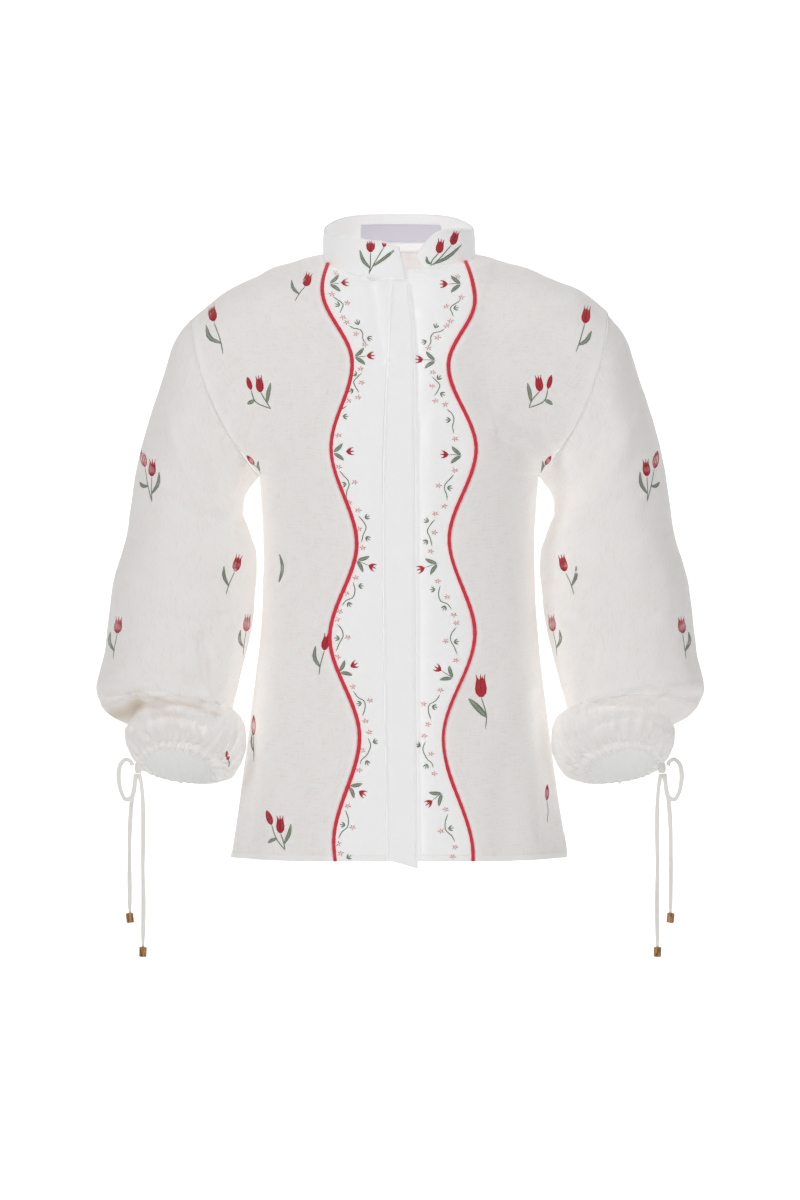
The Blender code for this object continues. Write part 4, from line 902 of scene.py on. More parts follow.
def corded(name, light, dark, pitch, slant):
    """A covered cord or a tape, ribbed along its own coordinates."""
    shader = Shader(name, roughness=0.7, sheen=0.2, specular=0.25)
    parts = shader.node("ShaderNodeSeparateXYZ", {}, shader.weave_place())
    u, v = Num(shader, parts.outputs[0]), Num(shader, parts.outputs[1])
    rib = ((v + u * slant) * (2 * math.pi / pitch)).sine() * 0.5 + 0.5
    flecks = shader.noise(shader.uv((700, 700, 1)), detail=2.0)
    # The tone follows the ribs, darker in their grooves as painted shade between the wraps, with flecks at
    # random.
    tone = rib * 0.5 + flecks * 0.5
    shader.set("Base Color", shader.mix(tone, dark, light))
    # Painted light: the cord and the tape glow faintly in their lighter colour.
    shader.set("Emission Color", light)
    shader.set("Emission Strength", 0.12)
    shader.bump(tone, 0.0003, 0.7)
    return shader.material


def label_material():
    shader = Shader("label satin", roughness=0.42, sheen=0.3, specular=0.4)
    weave = shader.noise(shader.uv((900, 2600, 1)), detail=1.0)
    shader.set("Base Color", shader.mix(weave, rgb(234, 230, 246), rgb(246, 243, 253)))
    shader.bump(weave, 0.0001, 0.5)
    return shader.material


def bead_material():
    """Turned golden wood with darker grain round its ends."""
    shader = Shader("golden wood", roughness=0.38, specular=0.5)
    grain = shader.noise(shader.place((900, 900, 110)), detail=4.0, roughness=0.6)
    blotch = shader.noise(shader.place((260, 260, 200)), detail=2.0)
    tone = grain.between(0.36, 0.64)
    base = shader.mix(tone, rgb(122, 74, 34), rgb(214, 164, 108))
    shader.set("Base Color", shader.mix(blotch.between(0.45, 0.75) * 0.5, base, rgb(168, 112, 62)))
    shader.bump(grain, 0.0003, 0.6)
    return shader.material


def shell_material():
    shader = Shader("shell button", roughness=0.25, specular=0.6)
    swirl = shader.noise(shader.place((160, 160, 160)), detail=3.0)
    shader.set("Base Color", shader.mix(swirl, rgb(226, 222, 212), rgb(246, 243, 236)))
    shader.bump(swirl, 0.0002, 0.3)
    return shader.material


sheer = linen("sheer linen", rgb(243, 241, 239), rgb(226, 222, 219), 0.12, 900)
opaque = linen("opaque linen", rgb(250, 250, 250), rgb(241, 241, 241), 0.16, 1000)
red_cord = corded("red covered cord", rgb(240, 68, 86), rgb(208, 46, 64), 0.0011, 0.6)
tape_white = corded("white tape", rgb(252, 250, 246), rgb(240, 236, 230), 0.0009, 1.0)
label_satin = label_material()
golden_wood = bead_material()
shell = shell_material()
red_thread = thread_material("red thread", rgb(226, 64, 82), rgb(202, 42, 60))
sage_thread = thread_material("sage thread", rgb(188, 198, 180), rgb(158, 170, 150))
moss_thread = thread_material("moss thread", rgb(146, 161, 138), rgb(118, 134, 112))
pink_thread = thread_material("pink thread", rgb(246, 182, 172), rgb(234, 154, 146))
white_thread = thread_material("white thread", rgb(244, 243, 241), rgb(226, 224, 221))
deep_thread = thread_material("deep red thread", rgb(212, 46, 64), rgb(184, 32, 50))
THREADS = [red_thread, deep_thread, sage_thread, moss_thread, pink_thread, white_thread]
RED, DEEP, SAGE, MOSS, PINK, WHITE = range(6)


def worn_lift(cloth, seed, strength=1.0):
    """Puts the creases of the front and the back, and the linen's unevenness, on a piece."""
    lift = crease_lift(seen(cloth.points), SEEN_CREASES) * faces_to(cloth.normals, FRONT)
    lift = lift + crease_lift(cloth.points[..., (0, 2)], BACK_CREASES) * faces_to(cloth.normals, BACK)
    return strength * (lift + ripple(cloth.points, seed))


def settle(points):
    """Gives points, in place on both sides, the stance of each side, as in the solids."""
    moved = np.array(points, float)
    for side, stance in STANCE.items():
        out = side * points[..., 0]
        lift = smooth(stance["out"], stance["lift"], out) * ramp(*STANCE_FADE, points[..., 2])
        moved[..., 2] += np.where(out > 0, lift, 0)
        moved[..., 0] += np.where(out > 0, side * stance["spread"] * ramp(*SPREAD_FROM, out), 0)
    return moved


def mirror(points, side):
    """Points of one side in their place."""
    return settle(points * (side, 1, 1))


# The grid rows of every body panel, closer together in the turned hem.
HEM_ROWS, HEM_ROW_STEP, PLAIN_ROWS = 8, 0.055, 230
HEM_TOP_ROW = -LOW_ROWS + HEM_ROWS * HEM_ROW_STEP
BODY_ROWS = np.concatenate([-LOW_ROWS + np.arange(HEM_ROWS) * HEM_ROW_STEP,
                            np.linspace(HEM_TOP_ROW, ARM_ROWS, PLAIN_ROWS)])
clothes = {}


def seam_step(distance, depth=0.55, reach=1.4):
    """A seam sinks the cloth a little along its line."""
    return -depth * np.exp(-((distance / reach) ** 2))


def hem_step(distance, width=6.2, height=0.45):
    """A turned hem stands a little higher than the cloth above it."""
    return height * (1 - ramp(width - 0.6, width + 0.6, distance))


def panel(side, face, rows, start, end, columns):
    """A cloth of the body between two edges, each given as how far across it lies in each row."""
    t = np.linspace(0, 1, columns)
    across = start[:, None] + (end - start)[:, None] * t
    return Cloth(mirror(body_point(side, face, rows[:, None], across), side))


def make_front_side(side):
    rows = BODY_ROWS
    wave = across_at(side, np.minimum(rows, NECK_END_ROW + 0.01), wave_out(side, SEAM_GAP))
    start = np.where(rows < 13, wave, 0)
    start = np.where(rows > PIT_ROW, np.maximum(start, 0), start)
    cloth = panel(side, FRONT, rows, start, np.ones(len(rows)), 58)
    from_wave, from_hem = cloth.lengths()
    from_side = from_wave[:, -1:] - from_wave
    cloth.raise_by(worn_lift(cloth, 11 + side) + seam_step(from_side) + hem_step(from_hem))
    seam = np.minimum(np.minimum(from_wave + 1.5, from_side), from_hem[-1:] - from_hem)
    name = "cloth_front_side_" + SIDES[side]
    piece = sew(name, cloth, SHEER_WALL, sheer, seam, from_hem)
    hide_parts("front_side_" + SIDES[side])
    clothes["front_side", side] = cloth
    declare([cloth])


def make_front_centre(side):
    rows = BODY_ROWS[BODY_ROWS < 12.9]
    inner = fly_seam_out if side == RIGHT else (lambda z: np.full_like(z, -UNDERLAP))
    start = across_at(side, np.minimum(rows, PIT_ROW), inner)
    start = np.where(rows > PIT_ROW, 0, start)
    end = np.maximum(across_at(side, rows, wave_out(side, -SEAM_GAP)), start + LEAST_ACROSS)
    cloth = panel(side, FRONT, rows, start, end, 34)
    from_inner, from_hem = cloth.lengths()
    cloth.raise_by(worn_lift(cloth, 31 + side, 0.8) + hem_step(from_hem, height=0.35))
    name = "cloth_front_centre_" + SIDES[side]
    piece = sew(name, cloth, FIRM_WALL, opaque,
                from_inner[:, -1:] - from_inner + 1.0, from_hem)
    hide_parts("front_centre_" + SIDES[side])
    clothes["front_centre", side] = cloth
    declare([cloth])


def make_fly():
    rows = BODY_ROWS[BODY_ROWS <= PIT_ROW]
    rows[-1] = PIT_ROW
    start = across_at(RIGHT, rows, fly_edge_out)
    end = across_at(RIGHT, rows, fly_seam_out)
    t = np.linspace(0, 1, 20)
    points = body_point(RIGHT, FRONT, rows[:, None], start[:, None] + (end - start)[:, None] * t)
    dip = (1 - ramp(-LOW_ROWS, -LOW_ROWS + 0.45, rows))[:, None]
    points[..., 2] += dip * (-FLY_DIP + (FLY_HEM_RISE + FLY_DIP) * t)
    cloth = Cloth(mirror(points, RIGHT))
    from_edge, from_hem = cloth.lengths()
    from_seam = from_edge[:, -1:] - from_edge
    rolled = 0.45 * np.exp(-((from_edge / 1.5) ** 2)) + 0.5 * np.exp(-((from_seam - 1.6) / 1.2) ** 2)
    cloth.raise_by(worn_lift(cloth, 51, 0.7) + rolled + seam_step(from_seam, 0.7, 0.8))
    piece = sew("cloth_fly", cloth, DOUBLE_WALL, opaque, None, from_hem + 3.0)
    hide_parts("fly_placket")
    clothes["fly", RIGHT] = cloth
    declare([cloth])


def make_back():
    """The two halves share the centre line up to the neck, where they part."""
    first = BACK_NECK["row"][0]
    rows = np.sort(np.append(BODY_ROWS[abs(BODY_ROWS - first) > 0.05], first))
    count = 70
    halves = {side: mirror(body_point(side, BACK, rows[:, None], np.linspace(0, 1, count)), side)
              for side in (RIGHT, LEFT)}
    low, high = rows <= first, rows >= first
    cloth = Cloth(np.concatenate([halves[RIGHT][low][:, ::-1], halves[LEFT][low][:, 1:]], 1))
    u, from_hem = cloth.lengths()
    from_side = np.minimum(u, u[:, -1:] - u)
    cloth.raise_by(worn_lift(cloth, 71) + hem_step(from_hem) + seam_step(from_side))
    clothes["back", BACK] = cloth
    piece = sew("cloth_back", cloth, SHEER_WALL, sheer, from_side, from_hem,
                joined=("last",))
    cloths, uppers = [cloth], []
    for side in (RIGHT, LEFT):
        upper = Cloth(halves[side][high])
        u, v = upper.lengths()
        from_arm, from_neck = u[:, -1:] - u, v[-1:] - v
        lift = worn_lift(upper, 71) + seam_step(from_arm)
        upper.raise_by(lift + seam_step(from_neck) * ramp(0, 8, v))
        columns = slice(count - 1, None, -1) if side == RIGHT else slice(count - 1, None)
        upper.points[0] = cloth.points[-1, columns]
        upper.normals[0] = cloth.normals[-1, columns]
        clothes["back_upper", side] = upper
        uppers.append(sew("back_upper", upper, SHEER_WALL, sheer,
                          np.minimum(from_arm, from_neck), joined=("first",)))
        cloths.append(upper)
    join(piece, uppers)
    weld = piece.modifiers.new("weld", "WELD")
    weld.merge_threshold = 0.02 * MM
    with bpy.context.temp_override(object=piece, active_object=piece):
        bpy.ops.object.modifier_apply(modifier=weld.name)
    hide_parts("back")
    declare(cloths)


def join(piece, others):
    bpy.ops.object.select_all(action="DESELECT")
    for part in [*others, piece]:
        part.select_set(True)
    bpy.context.view_layer.objects.active = piece
    bpy.ops.object.join()
    bpy.ops.object.select_all(action="DESELECT")


def make_sleeve(side):
    rings = [ring + np.arange(steps) / steps for ring, steps in enumerate(SLEEVE_STEPS)]
    rings = np.concatenate(rings + [[CASING_RING]])
    turns = np.arange(196) * 360 / 196
    cloth = Cloth(mirror(sleeve_ring(rings[:, None], turns), side), closed=True)
    _, from_arm = cloth.lengths()
    lift = worn_lift(cloth, 91 + side) + seam_step(from_arm, 0.6, 1.6)
    cloth.raise_by(lift * ramp(0, 4, from_arm + 0.8))
    outside = np.clip((0.25 - cloth.normals[..., 1]) / 0.3, 0, 1)
    # The outside takes painted shade under the fold, and the inside a painted shade all over.
    piece = sew("cloth_sleeve_" + SIDES[side], cloth, SHEER_WALL, sheer,
                np.where(from_arm < 1.6, from_arm, FAR),
                shade=fold_shade(cloth.points, side) * outside, painted_inner_shade=0.7)
    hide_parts("sleeve_" + SIDES[side])
    clothes["sleeve", side] = cloth
    declare([cloth], 1.12)


def make_casing(side):
    """The drawstring's channel and the small frill that stands below it."""
    rings = np.linspace(CASING_RING, END_RING, 16)
    turns = np.arange(280) * 360 / 280
    points = sleeve_ring(rings[:, None], turns)
    a = np.radians(turns)
    flare = ramp(CASING_RING + 0.55, END_RING, rings)[:, None]
    frill = np.sin(41 * a + 1.3 * np.sin(5 * a)) * 0.9 + np.sin(23 * a + 2) * 0.7
    points[..., 2] += flare * frill
    cloth = Cloth(mirror(points, side), closed=True)
    _, from_sleeve = cloth.lengths()
    channel = 0.7 * np.exp(-(((rings - CASING_RING - 0.5) / 0.28) ** 2))[:, None]
    cloth.raise_by(channel + 0.4 * np.sin(GATHERS * 1.5 * a + 1) * flare)
    # The inside takes a painted shade all over.
    piece = sew("cloth_casing_" + SIDES[side], cloth, FIRM_WALL, sheer,
                from_sleeve, painted_inner_shade=0.8)
    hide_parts("casing_" + SIDES[side])
    clothes["casing", side] = cloth
    declare([cloth], 1.3)


def collar_top(side, turn, foot):
    ends = RIGHT_END if side == RIGHT else LEFT_END
    inside = turn < ends["turn"][-1]
    height = np.where(inside, smooth(ends["turn"], ends["height"], turn), COLLAR_HEIGHT)
    shift = np.where(inside, smooth(ends["turn"], ends["shift"], turn), 0.0)
    height = height - COLLAR_SIDE_LOSS * np.sin(np.radians(turn)) ** COLLAR_SIDE_POWER
    top = neck_seam(side, turn + shift) * (0.98, 0.92, 1)
    top[:, 0] *= side
    top[:, 2] = foot[:, 2] + height
    return top


def make_collar():
    turns = {RIGHT: np.linspace(-5.7, 180, 96), LEFT: np.linspace(180, 18.7, 84)[1:]}
    feet, tops = [], []
    for side in (RIGHT, LEFT):
        feet.append(mirror(neck_seam(side, turns[side]), side))
        tops.append(collar_top(side, turns[side], feet[-1]))
    feet, tops = np.concatenate(feet), np.concatenate(tops)
    part = np.linspace(0, 1, 18)[:, None, None]
    points = feet * (1 - part) + tops * part
    cloth = Cloth(points, inside=(0, 0, 0))
    u, from_neck = cloth.lengths()
    from_edge = np.minimum(from_neck[-1:] - from_neck, np.minimum(u, u[:, -1:] - u))
    belly = 0.9 * np.sin(np.pi * part[..., 0]) + 0.5 * ripple(points, 5)
    cloth.raise_by(belly + seam_step(from_edge, 0.5, 1.2) + seam_step(from_neck, 0.4, 1.0))
    piece = sew("cloth_collar", cloth, DOUBLE_WALL, opaque, from_neck + 6.8)
    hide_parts("collar")
    clothes["collar", BACK] = cloth
    declare([cloth])


def make_label():
    """A blank woven label inside the collar."""
    collar = clothes["collar", BACK]
    rows, columns = np.linspace(4.3, 12.4, 12), np.linspace(79, 113, 36)
    points, normals = collar.at(rows[:, None], columns[None, :])
    bow = 0.35 * np.sin(np.linspace(0, np.pi, len(columns)))
    sag = 0.4 * np.sin(np.linspace(0, np.pi, len(rows)))[:, None]
    off = DOUBLE_WALL + 1.5 + bow - sag
    cloth = Cloth((points - normals * off[..., None])[:, ::-1], inside=(0, 400, 20))
    piece = sew("cloth_label", cloth, LABEL_WALL, label_satin)
    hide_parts("neck_label")
    clothes["label", BACK] = cloth
    declare([cloth])


def frame_along(path, face):
    """Steady sideways and outward directions along a path."""
    run = unit(np.gradient(path, axis=0))
    across = unit(np.cross(run, face))
    return across, unit(np.cross(across, run))


def tube(name, path, face, outline, material):
    """Sweeps a closed outline of (across, outward) points along a path."""
    across, outward = frame_along(path, face)
    outline = np.broadcast_to(outline, (len(path),) + np.shape(outline)[-2:])
    rings = path[:, None] + across[:, None] * outline[..., :1] + outward[:, None] * outline[..., 1:]
    rows, columns = rings.shape[:2]
    index = np.arange(rows * columns).reshape(rows, columns)
    index = np.concatenate([index, index[:, :1]], 1)
    quads = np.stack([index[:-1, :-1], index[1:, :-1], index[1:, 1:], index[:-1, 1:]], -1)
    quads = quads.reshape(-1, 4)
    ends = [index[0, :-1].tolist(), index[-1, :-1][::-1].tolist()]
    piece = new_piece(name, rings, quads.tolist() + ends, [material])
    points = rings.reshape(-1, 3)
    triangles = points[np.concatenate([quads[:, :3], quads[:, (0, 2, 3)]])]
    if np.linalg.det(triangles - points.mean(0)).sum() < 0:
        piece.data.flip_normals()
    around = distances(np.concatenate([rings[0], rings[0][:1]]))[:-1]
    places = np.stack(np.broadcast_arrays(around, distances(path)[:, None]), -1)
    lay_out(piece.data, places.reshape(-1, 2))
    return piece


def round_outline(wide, high, sides):
    a = np.arange(sides) * 2 * math.pi / sides
    return np.stack([np.cos(a) * wide / 2, np.sin(a) * high / 2], -1)


def make_piping(side):
    """The red cord, covered in close thread, in the groove of the wavy seam."""
    rows = np.linspace(-LOW_ROWS, NECK_END_ROW, 520)
    across = across_at(side, rows, wave_out(side))
    across = np.where(rows > PIT_ROW, np.maximum(across, LEAST_ACROSS), across)
    path = mirror(body_point(side, FRONT, rows, across), side)
    strip = across[:, None] + np.array((-0.02, 0, 0.02))
    normals = Cloth(mirror(body_point(side, FRONT, rows[:, None], strip), side)).normals[:, 1]
    creases = crease_lift(seen(path), SEEN_CREASES) * faces_to(normals, FRONT)
    path = path + normals * (0.9 * creases + 0.5 * ripple(path, 11 + side) + 0.1)[:, None]
    at = np.arange(len(path))
    wobble = 1 + 0.05 * np.sin(at * 0.9) + 0.03 * np.sin(at * 2.3)
    outline = round_outline(3.9, 3.0, 12)[None] * wobble[:, None, None]
    piece = tube("cord_piping_" + SIDES[side], path, normals, outline, red_cord)
    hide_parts("piping_" + SIDES[side])


def tape_outline(wide, thick):
    half, t = wide / 2, thick / 2
    return np.array([(half, 0), (half - t * 0.6, t), (half * 0.3, t * 0.82), (-half * 0.3, t * 0.82),
                     (t * 0.6 - half, t), (-half, 0), (t * 0.6 - half, -t), (-half * 0.3, -t * 0.82),
                     (half * 0.3, -t * 0.82), (half - t * 0.6, -t)])


def make_tie(kind, route, side, bead):
    """One free stretch of the tape, twisting a little; a tail narrows into its bead."""
    route = mirror(np.array(route, float), side)
    path = curve(route, int(distances(route)[-1] / TAPE_STEP))
    part = np.linspace(0, 1, len(path))
    turn = 0.35 * np.sin(part * 9 + side) * ramp(0.0, 0.2, part) * (0.5 if bead is None else 1)
    face = np.stack([np.sin(turn), -np.cos(turn), 0 * turn], -1)
    narrow = 1 - 0.16 * np.sin(part * 7 + 1) ** 2
    if bead is not None:
        narrow = narrow * (1 - 0.35 * ramp(0.93, 1.0, part))
    outline = tape_outline(TAPE_WIDTH, TAPE_THICK)[None] * np.stack(
        [narrow, np.ones_like(narrow)], -1)[:, None]
    name = f"tape_{kind}_{SIDES[side]}"
    piece = tube(name, path, face, outline, tape_white)
    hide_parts(f"tie_{kind}_{SIDES[side]}")
    return piece


def make_knot(side):
    """The tape wound three times round its own strands and pulled tight."""
    centre = mirror(np.array(KNOT_AT), side)
    a = np.linspace(0, 2 * math.pi * 3.4, 150)
    part = np.linspace(0, 1, len(a))
    radius = 3.1 + 0.45 * np.sin(part * math.pi) + 0.12 * np.sin(a * 2)
    path = np.stack([centre[0] + radius * np.cos(a) * side, centre[1] + radius * np.sin(a),
                     centre[2] + 3.6 - 7.2 * part], -1)
    away = path - centre
    away[:, 2] = 0
    outline = tape_outline(3.1, 1.5)
    wraps = tube("knot_wraps_" + SIDES[side], path, unit(away), outline, tape_white)
    core = np.stack([np.full(14, centre[0]), np.full(14, centre[1]),
                     centre[2] + np.linspace(5.2, -5.4, 14)], -1)
    swell = 0.8 + 0.2 * np.sin(np.linspace(0.3, 2.8, 14))
    body = tube("knot_core", core, np.tile((0.0, -1.0, 0.0), (14, 1)),
                round_outline(6.0, 5.4, 14)[None] * swell[:, None, None], tape_white)
    join(wraps, [body])
    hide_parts("tie_knot_" + SIDES[side])


def make_bead(kind, top, side, tilt):
    """A small turned bead with a bevelled rim and a sunk hole at each end."""
    bpy.ops.object.select_all(action="DESELECT")
    bpy.ops.mesh.primitive_cylinder_add(vertices=28, radius=3.9 * MM, depth=10 * MM)
    bead = bpy.context.object
    bead.name = f"wood_bead_{kind}_{SIDES[side]}"
    mesh = bead.data
    bpy.ops.object.mode_set(mode="EDIT")
    bpy.ops.mesh.select_mode(type="FACE")
    bpy.ops.mesh.select_all(action="DESELECT")
    bpy.ops.object.mode_set(mode="OBJECT")
    for face in mesh.polygons:
        face.select = abs(face.normal.z) > 0.9
    bpy.ops.object.mode_set(mode="EDIT")
    bpy.ops.mesh.inset(thickness=0.7 * MM, use_individual=True)
    bpy.ops.mesh.inset(thickness=1.2 * MM, use_individual=True)
    bpy.ops.mesh.extrude_faces_move(TRANSFORM_OT_shrink_fatten=dict(value=-1.2 * MM))
    bpy.ops.object.mode_set(mode="OBJECT")
    bevel = bead.modifiers.new("bevel", "BEVEL")
    bevel.width = 0.5 * MM
    bevel.segments = 3
    bevel.angle_limit = math.radians(50)
    bpy.ops.object.modifier_apply(modifier=bevel.name)
    mesh.shade_smooth()
    turn = np.array([[math.cos(tilt), 0, math.sin(tilt)], [0, 1, 0], [-math.sin(tilt), 0, math.cos(tilt)]])
    middle = (mirror(np.array(top, float), side) - (0, 0, 5.3)) * MM
    points = np.empty(len(mesh.vertices) * 3)
    mesh.vertices.foreach_get("co", points)
    points = points.reshape(-1, 3)
    points[:, 0] *= 1 + 0.03 * np.sin(points[:, 2] * 700)
    points = points @ turn.T + middle
    mesh.vertices.foreach_set("co", points.ravel())
    mesh.materials.append(golden_wood)
    mesh.update()
    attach(bead, "root")
    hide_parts(f"bead_{kind}_{SIDES[side]}")
    return bead


class Drawing:
    """Needlework drawn flat in seen pixels, thread by thread."""

    def __init__(self, seed, mirrored=False):
        self.threads = []
        self.hand = np.random.default_rng(seed)
        self.mirrored = mirrored

    def thread(self, points, wide, colour, count=5, high=0.45):
        """A laid thread; wide and high are in mm."""
        line = curve(points, count)
        if self.mirrored:
            line = np.stack([BORDER_MIRROR - line[:, 0], line[:, 1] + BORDER_DROP], -1)
        self.threads.append((line, wide, high, colour))

    def fill(self, line, wide, shape, count, colours, ends=None):
        """Satin stitch: threads side by side along a line, spread to a shape's width."""
        line = curve(line, 16)
        run = unit(np.gradient(line, axis=0))
        side = np.stack([-run[:, 1], run[:, 0]], -1)
        at = np.linspace(0, 1, 16)
        half = wide / 2 * np.interp(at, np.linspace(0, 1, len(shape)), shape)
        laid = wide * PIXEL / count
        for number in range(count):
            off = (number + 0.5) / count * 2 - 1
            stop = 1.0 if ends is None else ends[number]
            last = max(int(round(15 * (stop + self.hand.uniform(-0.02, 0.02)))), 4)
            path = (line + side * (half * off)[:, None])[:min(last, 15) + 1]
            colour = colours[number % len(colours)]
            self.thread(path, laid * 1.2, colour, 6, 0.4 + 0.12 * (number % 2))

    def head(self, base, tip, wide):
        """A tulip: a full cup with a crown of points, or a closed bud where it is narrow."""
        line = [base, tip]
        if wide <= 7:
            self.fill(line, wide, (0.25, 0.8, 1.0, 0.9, 0.55, 0.1), 4, (DEEP, RED, RED, DEEP))
            return
        shape = (0.3, 0.86, 1.0, 0.94, 0.74, 0.66, 0.86)
        count = 7 if wide < 11 else 9
        ends = (1.0, 0.84, 0.8, 0.98, 0.8, 0.84, 1.0)
        if count == 9:
            ends = (1.0, 0.86, 0.8, 0.84, 1.0, 0.84, 0.96, 0.8, 0.98)
        colours = [DEEP, RED, RED, DEEP, RED, RED, DEEP] if count == 7 else [
            DEEP, RED, RED, RED, DEEP, RED, RED, RED, DEEP]
        self.fill(line, wide, shape, count, colours, ends)

    def leaf(self, base, bend, tip, wide):
        self.fill([base, bend, tip], wide, (0.3, 0.75, 1.0, 0.95, 0.6, 0.12), 4 if wide > 3 else 3,
                  (MOSS, SAGE, SAGE, MOSS) if wide > 3 else (MOSS, SAGE, MOSS))

    def sprig(self, root, heads=(), leaves=()):
        """Each stem runs from its head to the root, past the foot of any leaf beside it."""
        root = np.array(root, float)
        feet = [[] for _ in heads]
        for leaf in leaves:
            foot = np.array(leaf[0], float)
            apart = []
            for base, _, _ in heads:
                run = root - np.array(base)
                off = foot - np.array(base)
                apart.append(abs(run[0] * off[1] - run[1] * off[0]) / np.hypot(*run))
            if apart:
                feet[int(np.argmin(apart))].append(foot)
            self.leaf(*leaf)
        for (base, tip, wide), passed in zip(heads, feet):
            passed = sorted(passed, key=lambda foot: -np.hypot(*(foot - root)))
            line = [np.array(base, float)] + passed + [root]
            if not passed:
                line.insert(1, (line[0] + root) / 2 + (1.2, 0))
            self.thread(line, 1.25, MOSS, 8, 0.4)
        for head in heads:
            self.head(*head)

    def free_sprig(self, place, tall, lean, heads):
        """A whole sprig of one or two tulips about a place."""
        up = np.array((lean, -1.0)) / math.hypot(lean, 1)
        off = np.array((-up[1], up[0])) * (1 if lean > 0 else -1)
        root = np.array(place, float) - up * tall / 2
        base = root + up * tall * 0.62 + off * 2
        tops = [(base, base + up * 17 + off, 8.8)]
        leaves = [(root + up * 9, root + up * 17 - off * 5, root + up * 28 - off * 5, 4.2)]
        if heads > 1:
            second = root + up * tall * 0.5 + off * 10
            tops.append((second, second + up * 14 + off * 2.5, 6.5))
            leaves.append((root + up * 12 + off * 4, root + up * 12 + off * 9, root + up * 9 + off * 13, 3.6))
        self.sprig(root, tops, leaves)

    def small_tulip(self, root, head):
        """A border tulip lying on its side, its two leaves splayed from the root."""
        root, head = np.array(root, float), np.array(head, float)
        run = (head - root) / np.linalg.norm(head - root)
        side = np.array((-run[1], run[0]))
        base = head - run * 3.8
        self.thread([root, (root + base) / 2 + side * 0.3, base], 0.8, MOSS, 5, 0.35)
        for way in (-1, 1):
            self.leaf(root + run * 1.5 + side * way, root + run * 6.5 + side * 4.2 * way,
                      root + run * 10.6 + side * 8.4 * way, 3.8)
        for off, reach in ((-1.0, 3.6), (-0.5, 1.4), (0.0, 4.4), (0.5, 1.4), (1.0, 3.6)):
            end = head + run * reach + side * off * 3.6
            self.thread([base, head - run * 0.6 + side * off * 2.6, end], 1.55, RED, 4)
        self.thread([base, head, head + run * 2], 0.7, DEEP, 4, 0.55)

    def floret(self, place):
        """A loose pink flower of a few short stitches."""
        place = np.array(place, float)
        for angle in np.arange(5) * 72 + self.hand.uniform(0, 70):
            a = math.radians(angle + self.hand.uniform(-9, 9))
            end = place + np.array((math.cos(a) * 3.5, math.sin(a) * 2.7))
            self.thread([place + (end - place) * 0.15, (place + end) / 2, end], 1.3, PINK, 3, 0.35)

    def sprout(self, x, y, turn):
        """A pair of small leaves beside a vine, opening one way."""
        a = math.radians(turn)
        run = np.array((math.cos(a), math.sin(a)))
        side = np.array((-run[1], run[0]))
        foot = np.array((x, y)) - run * 2.6
        for way, colour in ((-1, MOSS), (0, SAGE), (1, MOSS)):
            end = foot + run * (5.6 - 1.4 * abs(way)) + side * 2.6 * way
            self.thread([foot, (foot + end) / 2 + side * 0.5 * way, end], 1.5, colour, 4, 0.35)

    def border(self):
        for line in VINES:
            self.thread(line, 1.15, MOSS, 10, 0.4)
        for sprout in SPROUTS:
            self.sprout(*sprout)
        for place in FLORETS:
            self.floret(place)


class Aim:
    """Lays a drawing on the cloth along straight lines of sight from one side."""

    def __init__(self, view, cloths):
        self.view = view
        points, faces, first = [], [], 0
        for cloth in cloths:
            points.append(cloth.points.reshape(-1, 3))
            faces.append(cloth.faces() + first)
            first += len(points[-1])
        self.tree = BVHTree.FromPolygons(np.concatenate(points).tolist(), np.concatenate(faces).tolist())

    def ray(self, place):
        x, z = (place[0] - MIDDLE_X) * PIXEL, (MIDDLE_Y - place[1]) * PIXEL
        if self.view == "front":
            return (EYE_X, EYE_Y, EYE_Z), (x, -EYE_Y, z)
        z = z + EYE_Z
        if self.view == "back":
            return (-x, 1500.0, z), (0, -1, 0)
        return (self.view * 1500.0, x, z), (-self.view, 0, 0)

    def lay(self, drawing, threads):
        for line, wide, high, colour in drawing.threads:
            points, normals = [], []
            for place in line:
                eye, toward = self.ray(place)
                toward = Vector(toward).normalized()
                hit, normal, _, _ = self.tree.ray_cast(Vector(eye), toward)
                if hit is None:
                    break
                points.append(hit)
                normals.append(normal if normal.dot(toward) < 0 else -normal)
            points, normals = np.array(points), np.array(normals)
            if len(points) > 1:
                jumps = np.flatnonzero(np.abs(np.diff(points, axis=0)).max(1) > 9)
                if len(jumps):
                    points, normals = points[:jumps[0] + 1], normals[:jumps[0] + 1]
            if len(points) > 2:
                threads.add(points, normals, wide, high, colour)


